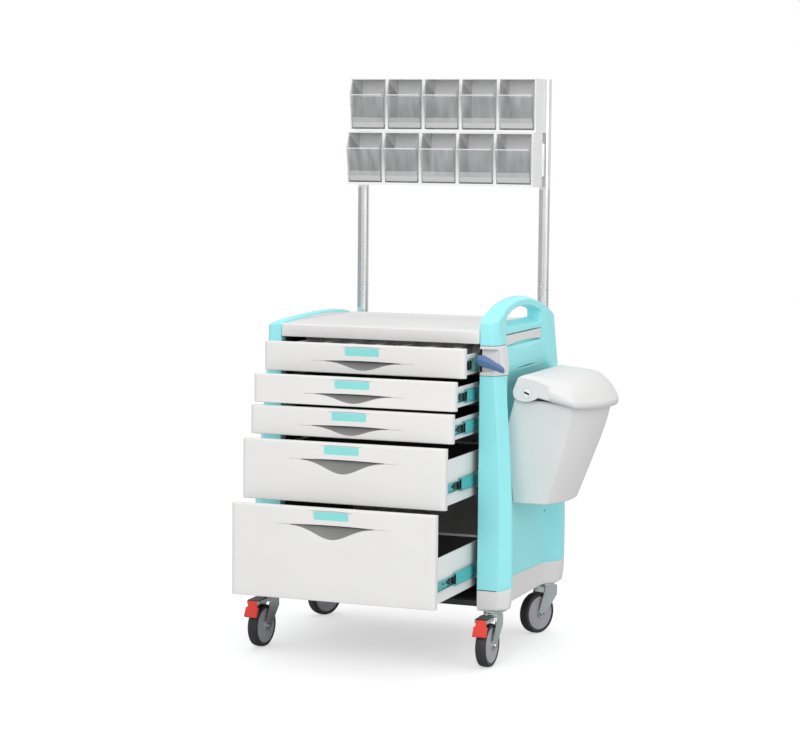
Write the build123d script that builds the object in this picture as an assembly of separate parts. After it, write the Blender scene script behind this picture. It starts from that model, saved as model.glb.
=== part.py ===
from build123d import *
import math
import os

# Five-drawer ward trolley with a rear mast of tilt bins, a side waste bin and a pull-out side shelf.
# Everything is laid out in cabinet coordinates: X to the right, -Y towards the user, Z up, with X = 0 at
# the middle of the mast. On export it is shifted to the floor and to the centre of its footprint.

# ---- overall envelope -------------------------------------------------------------------------
LEFT_X = -405.0
RIGHT_X = 620.0
FRONT_Y = -622.0
REAR_Y = 347.0
FLOOR_Z = -8.0
FRAME_X = -(LEFT_X + RIGHT_X) / 2
FRAME_Y = -(FRONT_Y + REAR_Y) / 2

# ---- cabinet ----------------------------------------------------------------------------------
MIDDLE_X = -3.5             # middle plane of the cabinet
INNER_X = 303.0             # inner face of the right-hand side panel
PANEL_FRONT_Y = -275.0
PANEL_REAR_Y = 280.0
SKIRT_BOTTOM_Z = 152.8
WORKTOP_TOP_Z = 950.0
WORKTOP_EDGE = 38.0
WORKTOP_WALL = 6.0
PANEL_WALL = 4.0
SHEET = 1.5
SIDE_SHEET_X = 296.2        # inner face of the steel side sheets
DECK_Z = 176.0              # top of the base deck
CARCASS_TOP_Z = 910.5
CARCASS_REAR_Y = 278.0

# Outer face of the right-hand side panel: height, x, depth of the middle recess
PANEL_SECTIONS = [
    (SKIRT_BOTTOM_Z, 392.0, 30.0), (214.0, 398.0, 36.0), (400.0, 397.0, 37.0), (620.0, 383.0, 37.0),
    (770.0, 371.0, 36.0), (836.0, 365.0, 10.0), (915.0, 357.0, 8.0), (980.0, 352.0, 8.0),
    (1048.0, 347.0, 8.0),
]

# ---- drawers ----------------------------------------------------------------------------------
FRONT_CLOSED_Y = -280.0     # face of a closed drawer front
FRONT_THICK = 24.0
FRONT_RIGHT_X = 301.0
BOX_RIGHT_X = 283.0
BOX_DEPTH = 470.0
BOX_SHEET = 1.2
SLIDE_LENGTH = 460.0
SLIDE_ABOVE_FLOOR = 50.0
# bottom of front, top of front, wall height of box, how far it stands open at rest
DRAWERS = [
    (823.6, 907.0, 58.0, 122.0), (738.8, 820.0, 58.0, 195.0), (650.7, 732.0, 58.0, 216.0),
    (472.7, 643.0, 145.0, 269.5), (209.5, 469.5, 145.0, 342.0),
]
DIVIDER_PITCH = 80.0
DIVIDER_THICK = 2.5
DIVIDER_HEIGHT = 73.0
SLOT_GAP = 0.2                      # between a cross wall and the plates that slot up to it

# ---- mast and tilt bins -----------------------------------------------------------------------
POST_X = 297.0
POST_Y = 332.0
POST_SIZE = 30.0
POST_BORE = 25.0
POST_BOTTOM_Z = 700.0
MAST_TOP_Z = 1672.4
ROW_WIDTH = 600.0
ROW_HEIGHT = 162.0
ROW_PITCH = 163.0
ROW_DEPTH = 93.0
ROW_FRONTS_Y = [223.5, 201.0]       # upper row, lower row
BINS_PER_ROW = 5
BIN_PITCH = ROW_WIDTH / BINS_PER_ROW
BIN_WIDTH = 108.0
BIN_WALL = 2.0
BIN_PIVOT_Y = 7.0
BIN_PIVOT_Z = 16.0
BIN_PIN_R = 3.0

# ---- castors ----------------------------------------------------------------------------------
WHEEL_R = 62.5
WHEEL_HALF = 16.0
AXLE_Z = FLOOR_Z + WHEEL_R
CASTOR_TRAIL = 40.0
# name, x and y of the swivel axis, angle of the fork about it at rest
CASTORS = [
    ("front_right", 344.0, -251.0, -1.5), ("front_left", -358.0, -251.0, -4.5),
    ("rear_right", 344.0, 258.0, -25.0), ("rear_left", -358.0, 258.0, -24.0),
]
RUNNING_GAP = 0.05

# ---- waste bin --------------------------------------------------------------------------------
LID_PIVOT_X = 421.0
LID_PIVOT_Z = 771.0
LID_Y = (-203.0, 207.0)
LID_WALL = 3.0
BIN_SKIN = 3.0

# ---- lock lever and side shelf ----------------------------------------------------------------
LEVER_X = 318.0
LEVER_Y = -284.0
LEVER_Z = 866.0
SHELF_Y = (-180.0, 138.0)
SHELF_Z = (917.0, 929.0)
SHELF_LENGTH = 392.0
SHELF_END_X = 346.0

cart = {}


def block(x0, x1, y0, y1, z0, z1):
    """Box between two corners."""
    return Pos(x0, y0, z0) * Box(x1 - x0, y1 - y0, z1 - z0, align=(Align.MIN, Align.MIN, Align.MIN))


def sweep_outline(corners, offset):
    """Solid swept from a closed flat outline of 3-D corners along an offset vector."""
    face = Face(Wire.make_polygon([Vector(*corner) for corner in corners], close=True))
    return Part() + Solid.extrude(face, Vector(*offset))


def prism_x(outline, x0, x1):
    """Outline of (y, z) corners swept from x0 to x1."""
    return sweep_outline([(x0, y, z) for y, z in outline], (x1 - x0, 0, 0))


def prism_y(outline, y0, y1):
    """Outline of (x, z) corners swept from y0 to y1."""
    return sweep_outline([(x, y0, z) for x, z in outline], (0, y1 - y0, 0))


def prism_z(outline, z0, z1):
    """Outline of (x, y) corners swept from z0 to z1."""
    return sweep_outline([(x, y, z0) for x, y in outline], (0, 0, z1 - z0))


def ruled_loft(sections):
    """Solid through flat sections, each a list of (x, y) corners with its height."""
    faces = []
    for outline, z in sections:
        faces.append(Face(Wire.make_polygon([Vector(x, y, z) for x, y in outline], close=True)))
    return Part() + loft(faces, ruled=True)


def rod_x(y, z, r, x0, x1):
    return Pos((x0 + x1) / 2, y, z) * Rot(0, 90, 0) * Cylinder(r, x1 - x0)


def rod_y(x, z, r, y0, y1):
    return Pos(x, (y0 + y1) / 2, z) * Rot(90, 0, 0) * Cylinder(r, y1 - y0)


def rod_z(x, y, r, z0, z1):
    return Pos(x, y, (z0 + z1) / 2) * Cylinder(r, z1 - z0)


def mirrored(shape, middle_x=MIDDLE_X):
    return mirror(shape, about=Plane.YZ.offset(middle_x))


def wide_block(right_x, y0, y1, z0, z1):
    """Box that reaches as far to the left of the cabinet's middle plane as to its right."""
    return block(2 * MIDDLE_X - right_x, right_x, y0, y1, z0, z1)


def arc_outline(start, end, bulge, steps):
    """Points on a shallow parabola from start to end, bulging sideways (+X) by bulge."""
    points = []
    for step in range(steps + 1):
        t = step / steps
        x = start[0] + t * (end[0] - start[0]) + 4 * bulge * t * (1 - t)
        points.append((x, start[1] + t * (end[1] - start[1])))
    return points


# ---- side panels, edge caps and skirts --------------------------------------------------------
def panel_section(outer, recess, inset, inner_x):
    """Plan outline of a right-hand side panel: two columns with a recess between them."""
    out = outer - inset
    low = outer - recess - inset
    front = PANEL_FRONT_Y + inset
    rear = PANEL_REAR_Y - inset
    return [
        (inner_x, front), (out - 22.0, front), (out - 4.0, front + 8.0), (out, front + 22.0),
        (out, -232.0 - inset), (low, -182.0 - inset), (low, 166.0 + inset), (out, 222.0 + inset),
        (out, rear - 12.0), (out - 12.0, rear), (inner_x, rear),
    ]


def panel_body(top_z, inset, inner_x, bottom_z):
    sections = []
    for z, outer, recess in PANEL_SECTIONS:
        height = max(z, bottom_z)
        if z <= top_z:
            sections.append((panel_section(outer, recess, inset, inner_x), height))
    return ruled_loft(sections)


def below_curve(points):
    """Everything to the right of the middle plane and under a line of (y, z) points."""
    outline = [(-400.0, 0.0), (-400.0, points[0][1])] + points + [(400.0, points[-1][1]), (400.0, 0.0)]
    return prism_x(outline, 250.0, 450.0)


SKIRT_LINE = [(-262.0, 206.0), (-240.0, 209.0), (-215.0, 222.0), (-190.0, 228.0), (120.0, 221.0),
              (290.0, 219.0)]
SEAM_LINE = [(-275.0, 834.0), (-190.0, 838.0), (-20.0, 842.0), (150.0, 838.0), (280.0, 829.0)]
HANDLE_ARCH = [
    (-275.0, 150.0), (-275.0, 971.0), (-258.0, 987.0), (-225.0, 1000.0), (-141.0, 1022.0), (-60.0, 1032.0),
    (20.0, 1034.0), (82.0, 1029.0), (177.0, 1011.0), (250.0, 988.0), (270.0, 975.0), (280.0, 955.0),
    (280.0, 150.0),
]
LOW_RIM = [
    (-275.0, 150.0), (-275.0, 948.0), (-262.0, 955.0), (-140.0, 962.0), (0.0, 967.0), (120.0, 966.0),
    (220.0, 960.0), (266.0, 953.0), (280.0, 942.0), (280.0, 150.0),
]
HAND_HOLE = [
    (-178.0, 957.0), (-176.0, 976.0), (-150.0, 993.0), (-90.0, 1008.0), (-20.0, 1012.0), (60.0, 1006.0),
    (120.0, 994.0), (146.0, 980.0), (148.0, 957.0),
]
CAP_CAVITY_TOP_Z = 892.0

outer_shape = panel_body(PANEL_SECTIONS[-1][0], 0.0, INNER_X, 0.0)
cavity = panel_body(PANEL_SECTIONS[-1][0], PANEL_WALL, INNER_X - 5.0, SKIRT_BOTTOM_Z + 5.0)
cavity = cavity & block(0, 500, -400, 400, SKIRT_BOTTOM_Z + 5.0, CAP_CAVITY_TOP_Z)
hollow_side = outer_shape - cavity
right_side = hollow_side & prism_x(HANDLE_ARCH, 250.0, 450.0)
left_side = hollow_side & prism_x(LOW_RIM, 250.0, 450.0)
skirt_zone = below_curve(SKIRT_LINE)
lower_zone = below_curve(SEAM_LINE)

skirt = hollow_side & skirt_zone
panel = (hollow_side & lower_zone) - skirt_zone
SCREW_HOLE_R = 3.5
SCREW_HOLES_Y = (-106.0, 172.0)
SCREW_HOLE_Z = 377.0
right_panel = panel
for hole_y in SCREW_HOLES_Y:
    right_panel = right_panel - rod_x(hole_y, SCREW_HOLE_Z, SCREW_HOLE_R, 330.0, 420.0)

# The lock housing takes the place of the front column between these two heights
LOCK_Z = (825.0, 907.0)
LOCK_BOUNDS = block(300, 420, -300, -188, LOCK_Z[0], LOCK_Z[1])
handle_cap = (right_side - lower_zone) - LOCK_BOUNDS
handle_cap = handle_cap - prism_x(HAND_HOLE, 290.0, 420.0)
shelf_slot = block(290, 420, SHELF_Y[0] - 1.5, SHELF_Y[1] + 1.5, SHELF_Z[0] - 1.5, SHELF_Z[1] + 4.0)
pull_recess = block(341, 420, SHELF_Y[0] - 6.0, SHELF_Y[1] + 6.0, 899.0, 934.0)
handle_cap = handle_cap - shelf_slot - pull_recess
right_panel = right_panel - LOCK_BOUNDS
left_cap = left_side - lower_zone

cart["side_panel_right"] = right_panel
cart["side_panel_left"] = mirrored(panel)
cart["handle_cap_right"] = handle_cap
cart["edge_cap_left"] = mirrored(left_cap)
cart["side_skirts"] = Compound(children=[*skirt.solids(), *mirrored(skirt).solids()])

# ---- lock housing: the front column's grey insert with a scooped face ---------------------------
lock_block = (panel_body(PANEL_SECTIONS[-1][0], 0.0, INNER_X, 0.0) - cavity) & LOCK_BOUNDS
lock_back = block(INNER_X, 372, PANEL_FRONT_Y, PANEL_FRONT_Y + 26, LOCK_Z[0], LOCK_Z[1]) & outer_shape
scoop = Pos(352, PANEL_FRONT_Y - 24, LEVER_Z - 6) * Sphere(42)
spindle_bore = rod_y(LEVER_X, LEVER_Z, 5.0 + RUNNING_GAP, PANEL_FRONT_Y - 5, PANEL_FRONT_Y + 40)
cart["lock_housing"] = (lock_block + lock_back) - scoop - spindle_bore

# ---- lock lever and the bar that it lifts -------------------------------------------------------
LEVER_OUTLINE = [(-15.0, -8.0), (-12.0, 13.0), (4.0, 18.0), (24.0, 11.0), (60.0, -11.0), (66.0, -19.0),
                 (62.0, -29.0), (48.0, -30.0), (30.0, -24.0), (0.0, -17.0)]
lever = prism_y([(LEVER_X + x, LEVER_Z + z) for x, z in LEVER_OUTLINE], LEVER_Y - 22, LEVER_Y)
lever_relief = [(12, -40), (90, -40), (90, 20), (28, 20)]
lever = lever - prism_y([(LEVER_X + x, LEVER_Z + z) for x, z in lever_relief], LEVER_Y - 10, LEVER_Y + 1)
lever = lever + rod_y(LEVER_X, LEVER_Z, 5.0, LEVER_Y - 4, PANEL_FRONT_Y + 36)
cart["lock_lever"] = lever
LOCK_BAR_Y = -238.0
lock_bar = block(304.5, 306.5, LOCK_BAR_Y - 5, LOCK_BAR_Y + 5, 230.0, 862.0)
cart["lock_bar"] = lock_bar

# ---- worktop --------------------------------------------------------------------------------
worktop_x = INNER_X - 0.5
worktop_front = FRONT_CLOSED_Y
worktop_rear = 283.0
worktop = wide_block(worktop_x, worktop_front, worktop_rear, WORKTOP_TOP_Z - WORKTOP_EDGE, WORKTOP_TOP_Z)
worktop = fillet(worktop.edges().filter_by(Axis.Z).group_by(Axis.Y)[0], 10)
worktop = fillet(worktop.edges().filter_by(Axis.X).group_by(Axis.Y)[0].group_by(Axis.Z)[-1], 6)
worktop = worktop - wide_block(worktop_x - WORKTOP_WALL, worktop_front + WORKTOP_WALL + 6,
                               worktop_rear - WORKTOP_WALL, WORKTOP_TOP_Z - WORKTOP_EDGE - 1, WORKTOP_TOP_Z - 10)
worktop = worktop - wide_block(worktop_x - 16, worktop_front + 18, worktop_rear - 14, WORKTOP_TOP_Z - 4,
                               WORKTOP_TOP_Z + 1)
worktop = worktop - block(worktop_x - 20, worktop_x + 1, SHELF_Y[0] - 3, SHELF_Y[1] + 3,
                          WORKTOP_TOP_Z - WORKTOP_EDGE - 1, SHELF_Z[1] + 4)
cart["worktop"] = worktop

# ---- steel carcass, base frame and back ---------------------------------------------------------
side_sheet = block(SIDE_SHEET_X, SIDE_SHEET_X + SHEET, -250, CARCASS_REAR_Y, DECK_Z, CARCASS_TOP_Z)
for rib_y in (-205.0, -70.0, 70.0, 220.0):
    side_sheet = side_sheet + block(SIDE_SHEET_X + SHEET, INNER_X - 0.3, rib_y - 8, rib_y + 8, DECK_Z,
                                    CARCASS_TOP_Z)
carcass = side_sheet + mirrored(side_sheet)
carcass = carcass + wide_block(SIDE_SHEET_X + SHEET, -250, CARCASS_REAR_Y, CARCASS_TOP_Z - SHEET,
                               CARCASS_TOP_Z)
for rail_z in (DECK_Z + 20, 690.0):
    carcass = carcass + wide_block(SIDE_SHEET_X, CARCASS_REAR_Y - 12, CARCASS_REAR_Y, rail_z, rail_z + 25)
cart["carcass_frame"] = carcass
cart["back_panel"] = wide_block(INNER_X - 0.5, CARCASS_REAR_Y, CARCASS_REAR_Y + SHEET, DECK_Z, 911.0)

RAIL_REACH = 366.0
base = wide_block(SIDE_SHEET_X + SHEET, -250, CARCASS_REAR_Y, DECK_Z - SHEET, DECK_Z)
for rail_y in (CASTORS[0][2], CASTORS[2][2]):
    base = base + wide_block(RAIL_REACH, rail_y - 14, rail_y + 14, SKIRT_BOTTOM_Z + 5, DECK_Z - SHEET)
cart["base_frame"] = base

# ---- drawers and their slides -------------------------------------------------------------------
def channel(x_web, x_lip, half_height, sheet):
    """Right-hand slide member: a web at x_web with two lips that reach to x_lip (y from 0 to length)."""
    x_low = min(x_web, x_lip)
    x_high = max(x_web, x_lip)
    web_low, web_high = (x_low, x_low + sheet) if x_web < x_lip else (x_high - sheet, x_high)
    member = block(web_low, web_high, 0, SLIDE_LENGTH, -half_height, half_height)
    for low in (half_height - sheet, -half_height):
        member = member + block(x_low, x_high, 0, SLIDE_LENGTH, low, low + sheet)
    return member


outer_member = channel(296.0, 286.5, 22.5, 1.2)
middle_member = channel(293.6, 285.8, 18.4, 1.2)
inner_member = channel(283.2, 290.6, 13.2, 1.2)


def handed_pair(member, y, z):
    placed = Pos(0, y, z) * member
    return [*placed.solids(), *mirrored(placed).solids()]


def drawer_front(z0, z1, face_y, wide_grip):
    """Moulded front with rounded ends, a label seat and a crescent-shaped finger recess."""
    front = wide_block(FRONT_RIGHT_X, face_y, face_y + FRONT_THICK, z0, z1)
    front = chamfer(front.edges().filter_by(Axis.Z).group_by(Axis.Y)[0], 9)
    half = 172.0 if wide_grip else 159.0
    drop = 35.0 if wide_grip else 22.0
    top = z1 - 51.0
    crescent = [(MIDDLE_X - half, top)]
    steps = 12
    for step in range(1, steps):
        angle = math.pi * step / steps
        crescent.append((MIDDLE_X - half * math.cos(angle), top - drop * math.sin(angle) ** 2))
    crescent.append((MIDDLE_X + half, top))
    front = front - prism_y(crescent, face_y - 1, face_y + 13)
    front = front - wide_block(MIDDLE_X + 53, face_y - 1, face_y + 1.2, z1 - 32, z1 - 8)
    # hollow rear, as the front is a moulded shell
    return front - wide_block(FRONT_RIGHT_X - 8, face_y + 17, face_y + FRONT_THICK + 1, z0 + 6, z1 - 6)


def drawer_box(z0, wall, y0):
    """Folded steel tray, open at the top."""
    box = wide_block(BOX_RIGHT_X, y0, y0 + BOX_DEPTH, z0, z0 + wall)
    inside = wide_block(BOX_RIGHT_X - BOX_SHEET, y0 + BOX_SHEET, y0 + BOX_DEPTH - BOX_SHEET, z0 + BOX_SHEET,
                        z0 + wall + 1)
    return box - inside


def plated_tray(z0, wall, y0):
    """The top tray, assembled from a floor plate and four wall plates so that it can be divided up."""
    base_z = z0 + BOX_SHEET + SLOT_GAP
    rear_y = y0 + BOX_DEPTH - BOX_SHEET
    plates = [wide_block(BOX_RIGHT_X, y0, y0 + BOX_DEPTH, z0, z0 + BOX_SHEET),
              wide_block(BOX_RIGHT_X, y0, y0 + BOX_SHEET, base_z, z0 + wall),
              wide_block(BOX_RIGHT_X, rear_y, rear_y + BOX_SHEET, base_z, z0 + wall)]
    side = block(BOX_RIGHT_X - BOX_SHEET, BOX_RIGHT_X, y0 + BOX_SHEET + SLOT_GAP, rear_y - SLOT_GAP,
                 base_z, z0 + wall)
    plates.extend([side, mirrored(side)])
    return Compound(children=[solid for plate in plates for solid in plate.solids()])


fixed_members = []
for index, (bottom_z, top_z, wall, opened) in enumerate(DRAWERS, start=1):
    face_y = FRONT_CLOSED_Y - opened
    box_y = face_y + FRONT_THICK
    box_z = bottom_z + 3.0
    slide_z = box_z + SLIDE_ABOVE_FLOOR if wall > 100 else box_z + wall / 2
    closed_slide_y = FRONT_CLOSED_Y + FRONT_THICK + 2.0
    cart[f"drawer_{index}_front"] = drawer_front(bottom_z, top_z, face_y, wall > 100)
    tray = plated_tray(box_z, wall, box_y) if index == 1 else drawer_box(box_z, wall, box_y)
    runners = handed_pair(inner_member, closed_slide_y - opened, slide_z)
    cart[f"drawer_{index}_box"] = Compound(children=[*tray.solids(), *runners])
    cart[f"slide_{index}_middle"] = Compound(
        children=handed_pair(middle_member, closed_slide_y - opened / 2, slide_z))
    fixed_members.extend(handed_pair(outer_member, closed_slide_y, slide_z))
cart["slide_outer_members"] = Compound(children=fixed_members)

top_bottom_z = DRAWERS[0][0]
top_open = DRAWERS[0][3]
divider_y = FRONT_CLOSED_Y - top_open + FRONT_THICK + BOX_SHEET + 1.0
divider_z = top_bottom_z + 3.0 + BOX_SHEET
divider_right_x = BOX_RIGHT_X - BOX_SHEET - 1.0
divider_end = divider_y + BOX_DEPTH - 2 * BOX_SHEET - 2.0
divider_top = divider_z + DIVIDER_HEIGHT
middle_y = (divider_y + divider_end) / 2
dividers = wide_block(divider_right_x, middle_y, middle_y + DIVIDER_THICK, divider_z, divider_top).solids()
for step in range(-3, 4):
    x = MIDDLE_X + step * DIVIDER_PITCH
    for plate_front, plate_back in ((divider_y, middle_y - SLOT_GAP),
                                    (middle_y + DIVIDER_THICK + SLOT_GAP, divider_end)):
        plate = block(x - DIVIDER_THICK / 2, x + DIVIDER_THICK / 2, plate_front, plate_back,
                      divider_z, divider_top)
        dividers.extend(plate.solids())
cart["drawer_1_dividers"] = Compound(children=dividers)

# ---- pull-out side shelf ------------------------------------------------------------------------
shelf = block(SHELF_END_X - SHELF_LENGTH, SHELF_END_X, SHELF_Y[0], SHELF_Y[1], SHELF_Z[0], SHELF_Z[1])
shelf = shelf + block(344.0, 352.0, SHELF_Y[0] - 4, SHELF_Y[1] + 4, 901.0, SHELF_Z[1] + 2)
cart["side_shelf"] = shelf

# ---- mast, brackets and tilt-bin housings -------------------------------------------------------
post = block(POST_X - POST_SIZE / 2, POST_X + POST_SIZE / 2, POST_Y - POST_SIZE / 2, POST_Y + POST_SIZE / 2,
             POST_BOTTOM_Z, MAST_TOP_Z)
post = fillet(post.edges().filter_by(Axis.Z), 7)
bore = block(POST_X - POST_BORE / 2, POST_X + POST_BORE / 2, POST_Y - POST_BORE / 2, POST_Y + POST_BORE / 2,
             POST_BOTTOM_Z - 1, MAST_TOP_Z - 3)
post = post - fillet(bore.edges().filter_by(Axis.Z), 4.5)
cart["mast_posts"] = Compound(children=[*post.solids(), *mirrored(post, 0.0).solids()])

POST_FRONT_Y = POST_Y - POST_SIZE / 2
back_face_y = CARCASS_REAR_Y + SHEET
brackets = []
for bracket_z in (740.0, 860.0):
    arm = block(POST_X - 18, POST_X + 6, back_face_y, POST_FRONT_Y, bracket_z - 18, bracket_z + 18)
    brackets.extend([*arm.solids(), *mirrored(arm, 0.0).solids()])
for row, row_front in enumerate(ROW_FRONTS_Y):
    spacer_z = MAST_TOP_Z - ROW_HEIGHT / 2 - row * ROW_PITCH
    spacer = block(POST_X - 20, POST_X - 1, row_front + ROW_DEPTH, POST_FRONT_Y, spacer_z - 50, spacer_z + 50)
    brackets.extend([*spacer.solids(), *mirrored(spacer, 0.0).solids()])
cart["mast_brackets"] = Compound(children=brackets)

HOUSING_WALL = 3.0
HOUSING_FLOOR = 8.0
pin_bore_r = BIN_PIN_R + RUNNING_GAP
for row, row_name in enumerate(("upper", "lower")):
    y0 = ROW_FRONTS_Y[row]
    z1 = MAST_TOP_Z - row * ROW_PITCH
    z0 = z1 - ROW_HEIGHT
    housing = block(-ROW_WIDTH / 2, ROW_WIDTH / 2, y0, y0 + ROW_DEPTH, z0, z1)
    for column in range(BINS_PER_ROW):
        x = -ROW_WIDTH / 2 + (column + 0.5) * BIN_PITCH
        half_bay = BIN_WIDTH / 2 + 1.0
        housing = housing - block(x - half_bay, x + half_bay, y0 - 1, y0 + ROW_DEPTH - HOUSING_WALL,
                                  z0 + HOUSING_FLOOR, z1 - HOUSING_WALL)
        housing = housing - rod_x(y0 + BIN_PIVOT_Y, z0 + BIN_PIVOT_Z, pin_bore_r, x - half_bay - 3.5,
                                  x + half_bay + 3.5)
    cart[f"tilt_housing_{row_name}"] = housing

# Side outline of one bin, from the housing's front face and floor; the front leans out to a lipped rim
BIN_SIDE = [(3.5, 10.0), (74.0, 10.0), (82.0, 20.0), (82.0, 108.0), (64.0, 120.0), (8.0, 150.0), (-3.0, 150.0),
            (-26.0, 112.0), (-1.0, 15.5)]


def tilt_bin(x, y0, z0):
    half = BIN_WIDTH / 2
    outline = [(y0 + y, z0 + z) for y, z in BIN_SIDE]
    side = prism_x(outline, x - half, x - half + BIN_WALL)
    other_side = prism_x(outline, x + half - BIN_WALL, x + half)
    front = prism_x([(y0 - 1.0, z0 + 15.5), (y0 + 3.5, z0 + 10), (y0 + 3.5, z0 + 12), (y0 + 1.3, z0 + 15.5),
                     (y0 - 23.5, z0 + 112), (y0 - 26, z0 + 112)], x - half, x + half)
    floor = block(x - half, x + half, y0 + 3.5, y0 + 74, z0 + 10, z0 + 10 + BIN_WALL)
    back = block(x - half, x + half, y0 + 80, y0 + 82, z0 + 20, z0 + 108)
    corner = prism_x([(y0 + 72.5, z0 + 12), (y0 + 74, z0 + 10), (y0 + 82, z0 + 20), (y0 + 80, z0 + 21)],
                     x - half, x + half)
    shell = side + other_side + front + floor + back + corner
    for end in (-1, 1):
        pin_low = x + end * (half - 1) if end > 0 else x - half - 4.0
        pin_high = x + half + 4.0 if end > 0 else x - half + 1
        shell = shell + rod_x(y0 + BIN_PIVOT_Y, z0 + BIN_PIVOT_Z, BIN_PIN_R, pin_low, pin_high)
    return shell


for row, row_name in enumerate(("upper", "lower")):
    row_z0 = MAST_TOP_Z - row * ROW_PITCH - ROW_HEIGHT
    for column in range(BINS_PER_ROW):
        x = -ROW_WIDTH / 2 + (column + 0.5) * BIN_PITCH
        cart[f"tilt_bin_{row_name}_{column + 1}"] = tilt_bin(x, ROW_FRONTS_Y[row], row_z0)

# ---- waste bin, its lid and the hanger ----------------------------------------------------------
def bin_section(back_x, corner_x, bulge, y0, y1):
    return [(back_x, y1), (back_x, y0)] + arc_outline((corner_x, y0), (corner_x, y1), bulge, 8)


def bin_body(inset, top_z):
    sections = []
    for back_x, corner_x, bulge, y0, y1, z in (
            (366.0, 462.0, 34.0, -142.0, 146.0, 452.0), (353.0, 527.0, 46.0, -170.0, 172.0, 669.0),
            (388.0, 560.0, 52.0, -190.0, 194.0, 800.0)):
        sections.append((bin_section(back_x + inset, corner_x - inset, bulge, y0 + inset, y1 - inset), z))
    return ruled_loft(sections) & block(300, 700, -300, 300, 440, top_z)


# The rear wall stops low, so that the back edge of the lid can swing over it
BODY_TOP = [(340.0, 440.0), (340.0, 744.0), (384.0, 744.0), (390.0, 766.0), (452.0, 764.0), (560.0, 724.0),
            (640.0, 720.0), (640.0, 440.0)]
body_limit = prism_y(BODY_TOP, -300.0, 300.0)
bin_hollow = bin_body(BIN_SKIN, 800.0) & block(300, 700, -300, 300, 456, 800)
body = (bin_body(0.0, 800.0) & body_limit) - bin_hollow
LID_PIN_R = 6.0
for cheek, wall, tip in ((LID_Y[0] + LID_WALL + 0.5, -181.0, LID_Y[0] - 1.0), (LID_Y[1] - LID_WALL - 0.5, 185.0,
                                                                            LID_Y[1] + 1.0)):
    low, high = min(cheek, wall), max(cheek, wall)
    body = body + rod_y(LID_PIVOT_X, LID_PIVOT_Z, 15.0, low, high)
    body = body + rod_y(LID_PIVOT_X, LID_PIVOT_Z, LID_PIN_R, min(wall, tip), max(wall, tip))
cart["waste_bin"] = body

LID_TOP = [(392.0, 764.0), (392.0, 812.0), (402.0, 822.0), (441.0, 819.0), (491.0, 799.0), (560.0, 757.0),
           (620.0, 738.0)]
LID_LOW = [(620.0, 722.0), (560.0, 730.0), (452.0, 772.0)]
lid_plan = [(380.0, LID_Y[1]), (380.0, LID_Y[0])] + arc_outline((562.0, LID_Y[0]), (562.0, LID_Y[1]),
                                                               RIGHT_X - 562.0, 12)
lid = prism_y(LID_TOP + LID_LOW, LID_Y[0], LID_Y[1]) & prism_z(lid_plan, 600, 900)
inner_plan = [(394.0, LID_Y[1] - LID_WALL), (394.0, LID_Y[0] + LID_WALL)] + arc_outline(
    (562.0 - LID_WALL, LID_Y[0] + LID_WALL), (562.0 - LID_WALL, LID_Y[1] - LID_WALL), RIGHT_X - 562.0, 12)
inner_top = [(x, z - LID_WALL) for x, z in LID_TOP[1:]]
lid_inside = prism_y([(395.0, 700.0)] + [(max(x, 395.0), z) for x, z in inner_top] + [(620.0, 700.0)],
                     LID_Y[0], LID_Y[1]) & prism_z(inner_plan, 600, 900)
lid = lid - lid_inside
lid = lid - block(388, 396, LID_Y[0] + LID_WALL, LID_Y[1] - LID_WALL, 700, 800)
for low in (LID_Y[0], LID_Y[1] - LID_WALL):
    lid = lid + rod_y(LID_PIVOT_X, LID_PIVOT_Z, 28.0, low, low + LID_WALL)
lid = lid - rod_y(LID_PIVOT_X, LID_PIVOT_Z, LID_PIN_R + RUNNING_GAP, LID_Y[0] - 2, LID_Y[1] + 2)
cart["waste_bin_lid"] = lid

HANGER_SECTION = [(344.7, 640.0), (342.9, 668.0), (352.8, 668.0), (354.4, 640.0)]
cart["waste_bin_hanger"] = prism_y(HANGER_SECTION, -120.0, 120.0)

# ---- castors ------------------------------------------------------------------------------------
HEAD_TOP_Z = 141.7
CROWN_Z = (132.0, 136.0)
LEG_X = (20.0, 23.0)
LEG_OUTLINE = [(-27.0, 132.0), (26.0, 132.0), (26.0, 106.0), (-30.0, 44.0), (-50.0, 46.0), (-52.0, 60.0)]
AXLE_R = 4.0
PEDAL_PIVOT = (-90.0, 130.0)


def castor_fork(braked):
    fork = block(-LEG_X[1], LEG_X[1], -27, 26, *CROWN_Z) + rod_z(0, 0, 26, CROWN_Z[1], HEAD_TOP_Z)
    for low, high in (LEG_X, (-LEG_X[1], -LEG_X[0])):
        fork = fork + prism_x(LEG_OUTLINE, low, high) + rod_x(-CASTOR_TRAIL, AXLE_Z, 13, low, high)
    fork = fork - rod_z(0, 0, 6 + RUNNING_GAP, CROWN_Z[0] - 1, HEAD_TOP_Z + 1)
    fork = fork + rod_x(-CASTOR_TRAIL, AXLE_Z, AXLE_R, -LEG_X[1] - 6, LEG_X[1] + 6)
    fork = fork + rod_x(-CASTOR_TRAIL, AXLE_Z, 8, LEG_X[1], LEG_X[1] + 5)
    fork = fork + rod_x(-CASTOR_TRAIL, AXLE_Z, 8, -LEG_X[1] - 5, -LEG_X[1])
    if braked:
        fork = fork + block(-17, 17, PEDAL_PIVOT[0] + 9, -26, CROWN_Z[0], CROWN_Z[1])
        for low, high in ((-19.5, -16.5), (16.5, 19.5)):
            fork = fork + block(low, high, PEDAL_PIVOT[0] - 6, -26, 126, CROWN_Z[1])
        fork = fork + rod_x(*PEDAL_PIVOT, 2.5, -19.5, 19.5)
    return fork


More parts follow.
